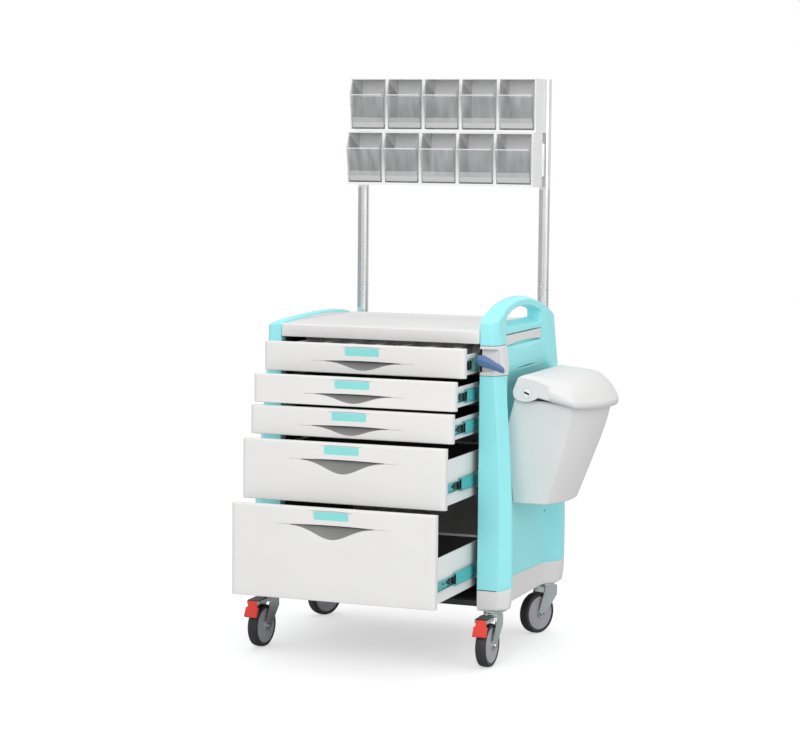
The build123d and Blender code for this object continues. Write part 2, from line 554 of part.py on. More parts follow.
def castor_wheel():
    hub = rod_x(-CASTOR_TRAIL, AXLE_Z, 48, -11, 11) + rod_x(-CASTOR_TRAIL, AXLE_Z, 12, -19.5, 19.5)
    hub = hub - rod_x(-CASTOR_TRAIL, AXLE_Z, AXLE_R + RUNNING_GAP, -20, 20)
    tyre = rod_x(-CASTOR_TRAIL, AXLE_Z, WHEEL_R, -WHEEL_HALF, WHEEL_HALF)
    tyre = fillet(tyre.edges(), 7)
    tyre = tyre - rod_x(-CASTOR_TRAIL, AXLE_Z, 48, -20, 20)
    return [*hub.solids(), *tyre.solids()]


def brake_pedal():
    y, z = PEDAL_PIVOT
    pedal = rod_x(y, z, 5.5, -16.2, 16.2)
    pedal = pedal + prism_x([(y - 5, z + 1), (y + 3, z - 3), (y - 14, z - 39), (y - 20, z - 41), (y - 23, z - 37)],
                            -15.0, 15.0)
    pedal = pedal + prism_x([(y - 11, z - 12), (y - 4, z - 14), (y - 14, z - 39), (y - 20, z - 41), (y - 23, z - 37)],
                            -20, 20)
    return pedal - rod_x(y, z, 2.5 + RUNNING_GAP, -20, 20)


plates = []
for name, axis_x, axis_y, turn in CASTORS:
    place = Pos(axis_x, axis_y, 0) * Rot(0, 0, turn)
    braked = name.startswith("front")
    cart[f"castor_{name}_fork"] = place * castor_fork(braked)
    cart[f"castor_{name}_wheel"] = Compound(children=[place * solid for solid in castor_wheel()])
    if braked:
        cart[f"brake_pedal_{name[6:]}"] = place * brake_pedal()
    plate = block(-38, 38, -23, 20, SKIRT_BOTTOM_Z - 5, SKIRT_BOTTOM_Z)
    plate = plate + rod_z(0, 0, 26, 142.0, SKIRT_BOTTOM_Z - 5)
    plate = plate + rod_z(0, 0, 6, 130.0, 143.0) + rod_z(0, 0, 10, 127.0, 131.7)
    plates.extend((Pos(axis_x, axis_y, 0) * plate).solids())
cart["castor_plates"] = Compound(children=plates)

# ---- export -------------------------------------------------------------------------------------
os.makedirs("parts", exist_ok=True)
for name, shape in cart.items():
    solids = [Pos(FRAME_X, FRAME_Y, -FLOOR_Z) * solid for solid in shape.solids()]
    placed = solids[0] if len(solids) == 1 else Compound(children=solids)
    placed.label = name
    export_step(placed, f"parts/{name}.step")
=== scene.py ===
import math

import bmesh
import bpy
from mathutils import Matrix, Vector


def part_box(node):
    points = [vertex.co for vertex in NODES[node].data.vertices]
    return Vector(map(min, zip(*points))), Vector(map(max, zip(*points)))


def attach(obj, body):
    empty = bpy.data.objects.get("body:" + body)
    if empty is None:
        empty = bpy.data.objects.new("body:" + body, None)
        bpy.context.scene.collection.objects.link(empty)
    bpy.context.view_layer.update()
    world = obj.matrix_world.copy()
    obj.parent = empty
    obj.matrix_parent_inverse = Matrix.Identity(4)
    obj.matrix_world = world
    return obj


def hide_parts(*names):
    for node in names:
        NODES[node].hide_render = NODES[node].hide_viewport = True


# Looks of the ward trolley. Shapes are written in millimetres in cabinet coordinates (X = 0 half way
# between the mast posts, worktop front edge at Y = -280, worktop rim at Z = 950) and placed by to_frame().

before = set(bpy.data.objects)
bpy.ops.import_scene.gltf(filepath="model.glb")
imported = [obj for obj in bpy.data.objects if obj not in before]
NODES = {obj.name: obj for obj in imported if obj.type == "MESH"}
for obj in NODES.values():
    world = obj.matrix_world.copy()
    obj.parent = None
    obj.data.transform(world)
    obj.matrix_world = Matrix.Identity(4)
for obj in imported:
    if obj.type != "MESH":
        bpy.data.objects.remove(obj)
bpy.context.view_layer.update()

worktop_low, worktop_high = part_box("worktop")
WORKTOP_FRONT_Y = -280.0
WORKTOP_TOP_Z = 950.0
MIDDLE_X = -3.5
ORIGIN = Vector(((worktop_low.x + worktop_high.x) / 2 - MIDDLE_X / 1000,
                 worktop_low.y - WORKTOP_FRONT_Y / 1000, worktop_high.z - WORKTOP_TOP_Z / 1000))


def to_frame(point):
    return ORIGIN + Vector(point) / 1000


def cabinet_box(node):
    """Corners of a CAD node in cabinet millimetres."""
    low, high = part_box(node)
    return (low - ORIGIN) * 1000, (high - ORIGIN) * 1000


# ---- camera, light and floor --------------------------------------------------------------------
CAMERA_AT = (2482.5, -6624.2, 1478.2)
CAMERA_AZIMUTH = math.radians(20.8666)
CAMERA_ELEVATION = math.radians(5.5232)
CAMERA_ROLL = math.radians(0.5625)
CAMERA_LENS = 107.12
WORLD_LIGHT = 0.78
FLOOR_GLOW = 0.52


def make_camera():
    data = bpy.data.cameras.new("camera")
    data.lens = CAMERA_LENS
    data.sensor_width = 36.0
    data.clip_end = 100.0
    camera = bpy.data.objects.new("camera", data)
    bpy.context.scene.collection.objects.link(camera)
    sin_az, cos_az = math.sin(CAMERA_AZIMUTH), math.cos(CAMERA_AZIMUTH)
    sin_el, cos_el = math.sin(CAMERA_ELEVATION), math.cos(CAMERA_ELEVATION)
    back = Vector((sin_az * cos_el, -cos_az * cos_el, sin_el))
    right = Vector((cos_az, sin_az, 0.0))
    up = back.cross(right)
    sin_roll, cos_roll = math.sin(CAMERA_ROLL), math.cos(CAMERA_ROLL)
    camera_right = right * cos_roll + up * sin_roll
    camera_up = up * cos_roll - right * sin_roll
    camera.matrix_world = Matrix.Translation(to_frame(CAMERA_AT)) @ Matrix(
        (camera_right, camera_up, back)).transposed().to_4x4()
    bpy.context.scene.camera = camera


def area_light(name, at, target, size, power):
    data = bpy.data.lights.new(name, "AREA")
    data.shape = "RECTANGLE"
    data.size, data.size_y = size
    data.energy = power
    light = bpy.data.objects.new(name, data)
    bpy.context.scene.collection.objects.link(light)
    light.location = to_frame(at)
    direction = to_frame(target) - light.location
    light.rotation_euler = direction.to_track_quat("-Z", "Y").to_euler()


def spread(tree, source, low, high, target):
    """Feeds a shader socket from a 0 to 1 value, taken over a range."""
    node = tree.nodes.new("ShaderNodeMapRange")
    node.inputs["To Min"].default_value = low
    node.inputs["To Max"].default_value = high
    tree.links.new(source, node.inputs["Value"])
    tree.links.new(node.outputs["Result"], target)


def seen_by_camera(tree, otherwise, seen, target):
    """One value where the camera looks straight at a thing, another for the light it gives."""
    path = tree.nodes.new("ShaderNodeLightPath")
    spread(tree, path.outputs["Is Camera Ray"], otherwise, seen, target)


def make_studio():
    world = bpy.data.worlds.new("studio")
    bpy.context.scene.world = world
    world.use_nodes = True
    background = world.node_tree.nodes["Background"]
    background.inputs["Color"].default_value = (1.0, 1.0, 1.0, 1.0)
    seen_by_camera(world.node_tree, WORLD_LIGHT, 1.0, background.inputs["Strength"])
    bpy.context.scene.view_settings.view_transform = "Standard"
    centre = (100, 0, 800)
    area_light("key", (800, -4300, 2600), centre, (2.4, 2.4), 66)
    area_light("fill", (3600, -1400, 1700), centre, (1.6, 2.4), 12)
    area_light("top", (200, 200, 3600), centre, (2.0, 2.0), 20)
    floor = bpy.data.meshes.new("floor")
    reach = 14.0
    floor.from_pydata([(-reach, -reach, 0), (reach, -reach, 0), (reach, reach, 0), (-reach, reach, 0)], [],
                      [(0, 1, 2, 3)])
    floor_object = bpy.data.objects.new("floor", floor)
    bpy.context.scene.collection.objects.link(floor_object)
    pale = plastic("studio_floor", (0.60, 0.60, 0.60), (0.62, 0.62, 0.62), 0.9, grain=0.0)
    shader = pale.node_tree.nodes["Principled BSDF"]
    shader.inputs["Emission Color"].default_value = (1.0, 1.0, 1.0, 1.0)
    seen_by_camera(pale.node_tree, 0.0, FLOOR_GLOW, shader.inputs["Emission Strength"])
    floor.materials.append(pale)


# ---- materials ----------------------------------------------------------------------------------
def new_material(name):
    material = bpy.data.materials.new(name)
    material.use_nodes = True
    nodes = material.node_tree.nodes
    nodes.clear()
    output = nodes.new("ShaderNodeOutputMaterial")
    shader = nodes.new("ShaderNodeBsdfPrincipled")
    material.node_tree.links.new(shader.outputs["BSDF"], output.inputs["Surface"])
    return material, shader


def noise(material, scale, detail=3.0, stretch=(1.0, 1.0, 1.0)):
    """Noise fixed to the object, in cycles per metre."""
    nodes, links = material.node_tree.nodes, material.node_tree.links
    coordinates = nodes.new("ShaderNodeTexCoord")
    mapping = nodes.new("ShaderNodeMapping")
    mapping.inputs["Scale"].default_value = stretch
    texture = nodes.new("ShaderNodeTexNoise")
    texture.inputs["Scale"].default_value = scale
    texture.inputs["Detail"].default_value = detail
    links.new(coordinates.outputs["Object"], mapping.inputs["Vector"])
    links.new(mapping.outputs["Vector"], texture.inputs["Vector"])
    return texture.outputs["Fac"]


def mixed_colour(material, shader, factor, first, second):
    """Base colour that drifts between two close shades."""
    nodes, links = material.node_tree.nodes, material.node_tree.links
    ramp = nodes.new("ShaderNodeValToRGB")
    ramp.color_ramp.elements[0].position = 0.3
    ramp.color_ramp.elements[0].color = (*first, 1.0)
    ramp.color_ramp.elements[1].position = 0.7
    ramp.color_ramp.elements[1].color = (*second, 1.0)
    links.new(factor, ramp.inputs["Fac"])
    links.new(ramp.outputs["Color"], shader.inputs["Base Color"])


def varied_roughness(material, shader, factor, low, high):
    spread(material.node_tree, factor, low, high, shader.inputs["Roughness"])


def bump(material, shader, height, strength, distance):
    nodes, links = material.node_tree.nodes, material.node_tree.links
    node = nodes.new("ShaderNodeBump")
    node.inputs["Strength"].default_value = strength
    node.inputs["Distance"].default_value = distance
    links.new(height, node.inputs["Height"])
    links.new(node.outputs["Normal"], shader.inputs["Normal"])


def plastic(name, first, second, roughness, grain=0.12, grain_scale=900.0, ior=1.5):
    """Moulded plastic: faint drift of shade, satin gloss with wear, fine spark-eroded grain."""
    material, shader = new_material(name)
    mixed_colour(material, shader, noise(material, 6.0), first, second)
    varied_roughness(material, shader, noise(material, 22.0, 5.0), roughness * 0.85, roughness * 1.15)
    shader.inputs["IOR"].default_value = ior
    if grain > 0:
        bump(material, shader, noise(material, grain_scale, 2.0), grain, 0.0002)
    return material


def metal(name, first, second, roughness, stretch=(1.0, 1.0, 1.0), grain=0.08, scale=180.0):
    """Bare or plated metal, with a brushed or rolled direction where it is stretched."""
    material, shader = new_material(name)
    shader.inputs["Metallic"].default_value = 1.0
    mixed_colour(material, shader, noise(material, 9.0), first, second)
    fine = noise(material, scale, 4.0, stretch)
    varied_roughness(material, shader, fine, roughness * 0.7, roughness * 1.3)
    bump(material, shader, fine, grain, 0.0001)
    return material


def powder_coat(name, first, second, roughness):
    """Sprayed and baked paint with its orange-peel skin."""
    material, shader = new_material(name)
    mixed_colour(material, shader, noise(material, 7.0), first, second)
    varied_roughness(material, shader, noise(material, 35.0), roughness * 0.9, roughness * 1.1)
    bump(material, shader, noise(material, 420.0, 2.0), 0.15, 0.0003)
    return material


def clear_plastic(name):
    """Clear polystyrene: see-through and glossy; its grey base colour is painted shade and its light and dark
    vertical streaks are painted reflections.
    """
    material, shader = new_material(name)
    # grey base colour streaked along Z: painted shade and painted reflections of the clear walls
    mixed_colour(material, shader, noise(material, 55.0, 2.0, (1.0, 1.0, 0.06)), (0.40, 0.405, 0.41),
                 (0.70, 0.705, 0.71))
    varied_roughness(material, shader, noise(material, 40.0), 0.06, 0.14)
    shader.inputs["IOR"].default_value = 1.5
    shader.inputs["Alpha"].default_value = 0.30
    bump(material, shader, noise(material, 60.0, 1.0), 0.05, 0.0005)
    return material


MATERIALS = {
    "turquoise": plastic("turquoise_abs", (0.335, 0.855, 0.890), (0.355, 0.880, 0.915), 0.36, ior=1.32),
    "light_grey": plastic("light_grey_abs", (0.770, 0.757, 0.755), (0.795, 0.782, 0.780), 0.42),
    "front_white": plastic("front_white_abs", (0.790, 0.785, 0.775), (0.815, 0.810, 0.800), 0.38),
    "white": plastic("white_abs", (0.86, 0.86, 0.86), (0.89, 0.89, 0.89), 0.4),
    "bin_grey": plastic("bin_plastic", (0.760, 0.760, 0.755), (0.785, 0.785, 0.780), 0.45, grain=0.2),
    "clear": clear_plastic("clear_polystyrene_painted_shade"),
    "blue": plastic("blue_plastic", (0.085, 0.165, 0.340), (0.105, 0.190, 0.375), 0.35),
    "red": plastic("red_plastic", (0.82, 0.045, 0.030), (0.88, 0.060, 0.040), 0.35),
    "black": plastic("black_plastic", (0.012, 0.012, 0.013), (0.020, 0.020, 0.021), 0.45),
    "liner": plastic("dark_liner", (0.030, 0.030, 0.032), (0.040, 0.040, 0.042), 0.6),
    "label": plastic("label_card", (0.255, 0.715, 0.695), (0.275, 0.735, 0.715), 0.5, grain=0.3,
                     grain_scale=500.0),
    # dark grey laid into the finger recesses: painted shade of the recess
    "grip_grey": plastic("grip_recess_painted_shade", (0.215, 0.213, 0.210), (0.245, 0.243, 0.240), 0.5),
    "strip_grey": plastic("strip_abs", (0.545, 0.545, 0.540), (0.580, 0.580, 0.575), 0.4),
    "dark_steel": powder_coat("dark_sheet_steel", (0.016, 0.016, 0.017), (0.024, 0.024, 0.025), 0.5),
    # zinc with a slight teal tint: painted reflection of the turquoise mouldings
    "zinc": metal("zinc_steel", (0.52, 0.60, 0.60), (0.62, 0.68, 0.68), 0.32, (1.0, 0.05, 1.0)),
    # zinc tinted strongly teal: painted reflection of the turquoise mouldings
    "slide_zinc": metal("slide_zinc", (0.16, 0.52, 0.52), (0.24, 0.60, 0.60), 0.30, (1.0, 0.05, 1.0)),
    "chrome": metal("chrome_steel", (0.46, 0.50, 0.51), (0.58, 0.62, 0.63), 0.14, grain=0.03),
    # darker aluminium for bands on the post fronts: painted shade of the rounded posts
    "satin": metal("aluminium_painted_shade", (0.46, 0.46, 0.49), (0.54, 0.54, 0.57), 0.3, (1.0, 1.0, 0.03)),
    "aluminium": metal("aluminium", (0.80, 0.80, 0.81), (0.87, 0.87, 0.88), 0.22, (1.0, 1.0, 0.03)),
    "tyre": plastic("tyre_rubber", (0.022, 0.022, 0.025), (0.035, 0.035, 0.038), 0.55, grain=0.3,
                    grain_scale=500.0),
    "hub": plastic("hub_plastic", (0.400, 0.400, 0.440), (0.440, 0.440, 0.480), 0.4),
}


# ---- mesh tools ---------------------------------------------------------------------------------
SHARP_ANGLE = math.radians(32)
BEVEL_ANGLE = math.radians(40)


def mesh_object(name, vertices, faces, merge=False):
    """An object from cabinet-millimetre vertices, its faces turned outwards."""
    mesh = bpy.data.meshes.new(name)
    mesh.from_pydata([to_frame(v) for v in vertices], [], faces)
    tidy = bmesh.new()
    tidy.from_mesh(mesh)
    if merge:
        bmesh.ops.remove_doubles(tidy, verts=tidy.verts, dist=1e-6)
    bmesh.ops.recalc_face_normals(tidy, faces=tidy.faces)
    tidy.to_mesh(mesh)
    tidy.free()
    obj = bpy.data.objects.new(name, mesh)
    bpy.context.scene.collection.objects.link(obj)
    return obj


def round_edges(obj, width, segments):
    rounding = obj.modifiers.new("edges", "BEVEL")
    rounding.width = width / 1000
    rounding.segments = segments
    rounding.limit_method = "ANGLE"
    rounding.angle_limit = BEVEL_ANGLE


def piece(name, vertices, faces, material, body, replaces=(), bevel=0.0, segments=2, thicken=0.0):
    """A finished mesh piece, riding on a CAD body."""
    obj = mesh_object(name, vertices, faces, merge=True)
    if thicken:
        solid = obj.modifiers.new("wall", "SOLIDIFY")
        solid.thickness = thicken / 1000
        solid.offset = -1.0
    if bevel:
        round_edges(obj, bevel, segments)
    return dress(obj, material, body, replaces)


def dress(obj, material, body, replaces=()):
    """Shading, material and CAD body of a finished piece; hides the CAD nodes it replaces."""
    obj.data.materials.clear()
    obj.data.materials.append(MATERIALS[material])
    obj.data.shade_smooth()
    obj.data.set_sharp_from_angle(angle=SHARP_ANGLE)
    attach(obj, body)
    if replaces:
        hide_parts(*replaces)
    return obj


def finish_node(node, material, bevel=0.0, segments=2):
    """Gives a CAD node that stays its material and softly broken edges."""
    obj = NODES[node]
    obj.data.materials.clear()
    obj.data.materials.append(MATERIALS[material])
    if bevel:
        weld = obj.modifiers.new("weld", "WELD")
        weld.merge_threshold = 1e-5
        round_edges(obj, bevel, segments)


def block_mesh(low, high):
    """Vertices and faces of a box, for pieces that get their edges rounded."""
    (x0, y0, z0), (x1, y1, z1) = low, high
    vertices = [(x, y, z) for z in (z0, z1) for y in (y0, y1) for x in (x0, x1)]
    faces = [(0, 2, 3, 1), (4, 5, 7, 6), (0, 1, 5, 4), (1, 3, 7, 5), (3, 2, 6, 7), (2, 0, 4, 6)]
    return vertices, faces


def join_meshes(parts):
    vertices, faces = [], []
    for part_vertices, part_faces in parts:
        start = len(vertices)
        vertices.extend(part_vertices)
        faces.extend([tuple(start + i for i in face) for face in part_faces])
    return vertices, faces


def loft_mesh(rings, cap_first=True, cap_last=True):
    """Closed rings of equal length joined in order."""
    count = len(rings[0])
    vertices = [point for ring in rings for point in ring]
    faces = []
    for row in range(len(rings) - 1):
        for i in range(count):
            j = (i + 1) % count
            faces.append((row * count + i, row * count + j, (row + 1) * count + j, (row + 1) * count + i))
    if cap_first:
        faces.append(tuple(range(count - 1, -1, -1)))
    if cap_last:
        faces.append(tuple((len(rings) - 1) * count + i for i in range(count)))
    return vertices, faces


def filleted(corners, steps=6):
    """Closed flat outline with each (x, y, radius-like reach) corner rounded."""
    outline = []
    total = len(corners)
    for index, (x, y, reach) in enumerate(corners):
        corner = Vector((x, y))
        if reach <= 0:
            outline.append((x, y))
            continue
        before = Vector(corners[index - 1][:2]) - corner
        after = Vector(corners[(index + 1) % total][:2]) - corner
        start = corner + before.normalized() * min(reach, before.length * 0.48)
        end = corner + after.normalized() * min(reach, after.length * 0.48)
        for step in range(steps + 1):
            t = step / steps
            point = start * (1 - t) ** 2 + corner * 2 * t * (1 - t) + end * t ** 2
            outline.append((point.x, point.y))
    return outline


def smooth_curve(points, at):
    """Value at a place along (place, value) points, with a smooth (cubic) run between them."""
    if at <= points[0][0]:
        return points[0][1]
    if at >= points[-1][0]:
        return points[-1][1]
    slopes = []
    for i in range(len(points)):
        before, after = points[max(i - 1, 0)], points[min(i + 1, len(points) - 1)]
        slopes.append((after[1] - before[1]) / (after[0] - before[0]))
    for i in range(len(points) - 1):
        (p0, v0), (p1, v1) = points[i], points[i + 1]
        if at <= p1:
            span = p1 - p0
            t = (at - p0) / span
            return (v0 * (2 * t ** 3 - 3 * t ** 2 + 1) + slopes[i] * span * (t ** 3 - 2 * t ** 2 + t)
                    + v1 * (3 * t ** 2 - 2 * t ** 3) + slopes[i + 1] * span * (t ** 3 - t ** 2))


def curve_points(points, start, end, steps):
    """Evenly spaced (place, value) pairs read off a smooth curve."""
    pairs = []
    for step in range(steps + 1):
        at = start + (end - start) * step / steps
        pairs.append((at, smooth_curve(points, at)))
    return pairs


def prism_mesh(outline, axis, low, high):
    """Outline of 2-D points swept along X (outline is y, z), Y (x, z) or Z (x, y)."""
    def place(a, b, c):
        return {"x": (c, a, b), "y": (a, c, b), "z": (a, b, c)}[axis]
    return loft_mesh([[place(a, b, low) for a, b in outline], [place(a, b, high) for a, b in outline]])


def lathe_mesh(profile, centre, axis, steps=48):
    """Profile of (distance along axis, radius) turned about an axis through centre ('x' or 'y' or 'z')."""
    rings = []
    for along, radius in profile:
        ring = []
        for step in range(steps):
            angle = 2 * math.pi * step / steps
            a, b = radius * math.cos(angle), radius * math.sin(angle)
            offset = {"x": (along, a, b), "y": (a, along, b), "z": (a, b, along)}[axis]
            ring.append(tuple(c + o for c, o in zip(centre, offset)))
        rings.append(ring)
    return loft_mesh(rings)


def ellipsoid_mesh(centre, radii, rows=16, steps=32):
    rings = []
    for row in range(1, rows):
        polar = math.pi * row / rows
        rings.append([(centre[0] + radii[0] * math.sin(polar) * math.cos(2 * math.pi * s / steps),
                       centre[1] + radii[1] * math.sin(polar) * math.sin(2 * math.pi * s / steps),
                       centre[2] + radii[2] * math.cos(polar)) for s in range(steps)])
    return loft_mesh(rings)


def bake(obj):
    """Applies an object's modifiers to its mesh."""
    bpy.context.view_layer.update()
    evaluated = obj.evaluated_get(bpy.context.evaluated_depsgraph_get())
    mesh = bpy.data.meshes.new_from_object(evaluated)
    obj.modifiers.clear()
    obj.data = mesh


def combine(obj, other_data, operation):
    """Cuts, joins or clips a working solid with another one."""
    other = mesh_object("tool", *other_data)
    boolean = obj.modifiers.new("boolean", "BOOLEAN")
    boolean.operation = operation
    boolean.object = other
    boolean.solver = "EXACT"
    bake(obj)
    bpy.data.objects.remove(other)


def moulded(obj, name, voxel, passes, keep=1.0):
    """Turns a working solid into one smooth moulding with rounded edges."""
    obj.name = name
    remesh = obj.modifiers.new("remesh", "REMESH")
    remesh.mode = "VOXEL"
    remesh.voxel_size = voxel / 1000
    smooth = obj.modifiers.new("soften", "SMOOTH")
    smooth.factor = 0.5
    smooth.iterations = passes
    if keep < 1.0:
        decimate = obj.modifiers.new("thin", "DECIMATE")
        decimate.ratio = keep
    bake(obj)
    return obj


def mirror_x(mesh_data):
    """The left-hand copy: reflected in the cabinet's middle plane."""
    vertices, faces = mesh_data
    return [(2 * MIDDLE_X - x, y, z) for x, y, z in vertices], [tuple(reversed(face)) for face in faces]


# ---- side panels, caps and skirts ---------------------------------------------------------------
INNER_X = 303.0
PANEL_FRONT_Y = -275.0
PANEL_REAR_Y = 280.0
# outer face of a side moulding, and how far its middle is sunken, at a height
OUTER_X = [(152.8, 391.0), (180.0, 395.5), (214.0, 397.5), (400.0, 396.5), (620.0, 383.0), (770.0, 371.0),
           (836.0, 365.0), (915.0, 357.0), (980.0, 352.0), (1048.0, 347.0)]
RECESS = [(152.8, 30.0), (214.0, 36.0), (620.0, 37.0), (745.0, 36.0), (800.0, 22.0), (836.0, 7.0),
          (915.0, 4.0), (1048.0, 4.0)]
# width of the flat bevel on the front columns, at a height
BEVEL_X = [(400.0, 29.0), (600.0, 21.0), (960.0, 18.0)]
BEVEL_Y = [(400.0, 24.0), (640.0, 40.0), (866.0, 39.0), (960.0, 22.0)]
# lines along a side moulding: height at a depth
SKIRT_LINE = [(-275.0, 206.0), (-252.0, 209.0), (-235.0, 218.0), (-215.0, 225.0), (-180.0, 228.0),
              (0.0, 225.0), (160.0, 219.5), (280.0, 219.0)]
SKIRT_BOTTOM_LINE = [(-275.0, 152.8), (280.0, 152.8)]
SEAM_LINE = [(-275.0, 822.0), (-170.0, 827.0), (-46.0, 835.0), (57.0, 835.0), (183.0, 828.0), (280.0, 820.0)]


def panel_corners(z, front_y=PANEL_FRONT_Y, proud=0.0, recess_limit=99.0):
    """Plan of a side moulding at a height: bevelled front column, sunken middle, rear column."""
    outer = smooth_curve(OUTER_X, z) + proud
    recess = min(smooth_curve(RECESS, z), recess_limit)
    low = outer - recess
    return [(INNER_X, front_y, 2.5), (outer - smooth_curve(BEVEL_X, z), front_y, 5.0),
            (outer, front_y + smooth_curve(BEVEL_Y, z), 5.0), (outer, -191.0 - 1.15 * recess, 8.0),
            (low, -186.0, 16.0), (low, 172.0, 16.0), (outer, 178.0 + 1.2 * recess, 12.0),
            (outer, PANEL_REAR_Y, 15.0), (INNER_X, PANEL_REAR_Y, 2.5)]


def side_mesh(bottom_line, top_line, rows, seam=0.7):
    """Outer shell of a side moulding between two lines; its edge turns in slightly at each seam."""
    places = [(0.0, 0.0, 2 * seam), (0.0, seam, seam), (0.0, 2.5 * seam, 0.0)]
    places += [(row / rows, 0.0, 0.0) for row in range(1, rows)]
    places += [(1.0, -2.5 * seam, 0.0), (1.0, -seam, seam), (1.0, 0.0, 2 * seam), (1.0, 2.4, 2.5 * seam)]
    flat = filleted(panel_corners(500.0))
    rings = []
    for share, lift, inset in places:
        ring = []
        for index, (_, y) in enumerate(flat):
            z = (1 - share) * smooth_curve(bottom_line, y) + share * smooth_curve(top_line, y) + lift
            x, level_y = filleted(panel_corners(z))[index]
            ring.append((x - inset if x > INNER_X + 4 else x, level_y, z))
        rings.append(ring)
    return loft_mesh(rings)


# how far a cap's top drops below its line, across its thickness
TOP_DROP = [(280.0, 7.0), (303.0, 2.5), (310.0, 0.5), (318.0, 0.0), (329.0, 2.0), (340.0, 6.5), (349.0, 12.0),
            (356.0, 19.0), (450.0, 80.0)]


def cap_solid(top_outline):
    """Working solid of a cap: the panel's section carried up and cut by the seam and a top line."""
    rings = []
    for z in (800, 815, 830, 845, 870, 915, 950, 980, 1010, 1050):
        rings.append([(x, y, z) for x, y in filleted(panel_corners(z))])
    cap = mesh_object("cap", *loft_mesh(rings))
    seam = curve_points(SEAM_LINE, -300.0, 300.0, 40)
    kept = []
    for x, drop in TOP_DROP:
        kept.append([(x, y, z - 3.0) for y, z in seam] + [(x, y, z - drop) for y, z in reversed(top_outline)])
    combine(cap, loft_mesh(kept), "INTERSECT")
    return cap


ARCH_LINE = [(-276.0, 971.0), (-258.0, 987.0), (-225.0, 1000.0), (-141.0, 1022.0), (-60.0, 1032.0),
             (20.0, 1034.0), (82.0, 1029.0), (177.0, 1011.0), (250.0, 988.0), (270.0, 975.0), (281.0, 955.0)]
LOW_RIM_LINE = [(-276.0, 946.0), (-262.0, 955.0), (-140.0, 962.0), (0.0, 967.0), (120.0, 966.0),
                (220.0, 960.0), (264.0, 953.0), (281.0, 942.0)]
HAND_HOLE = [(-172.0, 953.0, 8.0), (-176.0, 980.0, 16.0), (-112.0, 1001.0, 30.0), (-25.0, 1009.0, 40.0),
             (68.0, 1003.0, 40.0), (154.0, 984.0, 14.0), (156.0, 950.0, 8.0)]
LOCK_LOW_Z = 822.0
LOCK_HIGH_Z = 907.0
LOCK_BACK_Y = -188.0
# cutting solids reach past the mouldings to these places
CUT_IN = 280
CUT_OUT = 420
CUT_FRONT = -300
# panel screws: depth along the panel, and the panel's face there
PANEL_SCREWS = ((-106.0, 358.0), (172.0, 360.0))
PANEL_SCREW_Z = 377.0


def hand_hole_mesh():
    """The hole through the handle; its floor rises inwards as a sloping ledge."""
    rings = []
    for x, rise in ((290.0, 14.0), (318.0, 12.0), (345.0, 1.0), (420.0, -14.0)):
        ring = []
        for y, z in filleted(HAND_HOLE):
            share = max(0.0, min(1.0, (996.0 - z) / 43.0))
            ring.append((x, y, z + rise * share))
        rings.append(ring)
    return loft_mesh(rings)


def make_caps():
    arch = curve_points(ARCH_LINE, -300.0, 300.0, 80)
    cap = cap_solid(arch)
    lock_room = block_mesh((CUT_IN, CUT_FRONT, LOCK_LOW_Z - 10), (CUT_OUT, LOCK_BACK_Y, LOCK_HIGH_Z + 0.6))
    shelf_recess = block_mesh((343, -186, 899), (CUT_OUT, 148, 934))
    shelf_slot = block_mesh((326, -183, 926), (CUT_OUT, 145, 933))
    finger_scoop = ellipsoid_mesh((360, -21, 899), (11, 150, 10))
    for tool in (hand_hole_mesh(), lock_room, shelf_recess, shelf_slot, finger_scoop):
        combine(cap, tool, "DIFFERENCE")
    dress(moulded(cap, "handle_cap", 1.9, 5, 0.5), "turquoise", "cart", ("handle_cap_right",))
    rim = curve_points(LOW_RIM_LINE, -300.0, 300.0, 60)
    low_cap = cap_solid(rim)
    for vertex in low_cap.data.vertices:
        vertex.co.x = 2 * (ORIGIN.x + MIDDLE_X / 1000) - vertex.co.x
    low_cap.data.flip_normals()
    dress(moulded(low_cap, "edge_cap", 1.9, 5, 0.5), "turquoise", "cart", ("edge_cap_left",))


def make_side_panels():
    panel = side_mesh(SKIRT_LINE, SEAM_LINE, 30)
    skirt = side_mesh(SKIRT_BOTTOM_LINE, SKIRT_LINE, 8, 0.9)
    piece("panel_left", *mirror_x(panel), "turquoise", "cart", ("side_panel_left",))
    right = mesh_object("panel_right", *panel)
    lock_room = block_mesh((CUT_IN, CUT_FRONT, LOCK_LOW_Z - 0.6), (CUT_OUT, LOCK_BACK_Y, LOCK_HIGH_Z))
    combine(right, lock_room, "DIFFERENCE")
    for y, _ in PANEL_SCREWS:
        hole = lathe_mesh([(330.0, 3.4), (CUT_OUT, 3.4)], (0.0, y, PANEL_SCREW_Z), "x", 20)
        combine(right, hole, "DIFFERENCE")
    dress(right, "turquoise", "cart", ("side_panel_right",))
    screws = []
    for y, x in PANEL_SCREWS:
        profile = [(x - 6, 3.3), (x - 2.5, 3.3), (x - 1.5, 2.6)]
        screws.append(lathe_mesh(profile, (0.0, y, PANEL_SCREW_Z), "x", 16))
    piece("panel_screws", *join_meshes(screws), "black", "cart")
    skirts = join_meshes([skirt, mirror_x(skirt)])
    piece("skirts", *skirts, "light_grey", "cart", ("side_skirts",))


# ---- lock housing and lever ---------------------------------------------------------------------
LEVER_AT = (318.0, -284.0, 866.0)


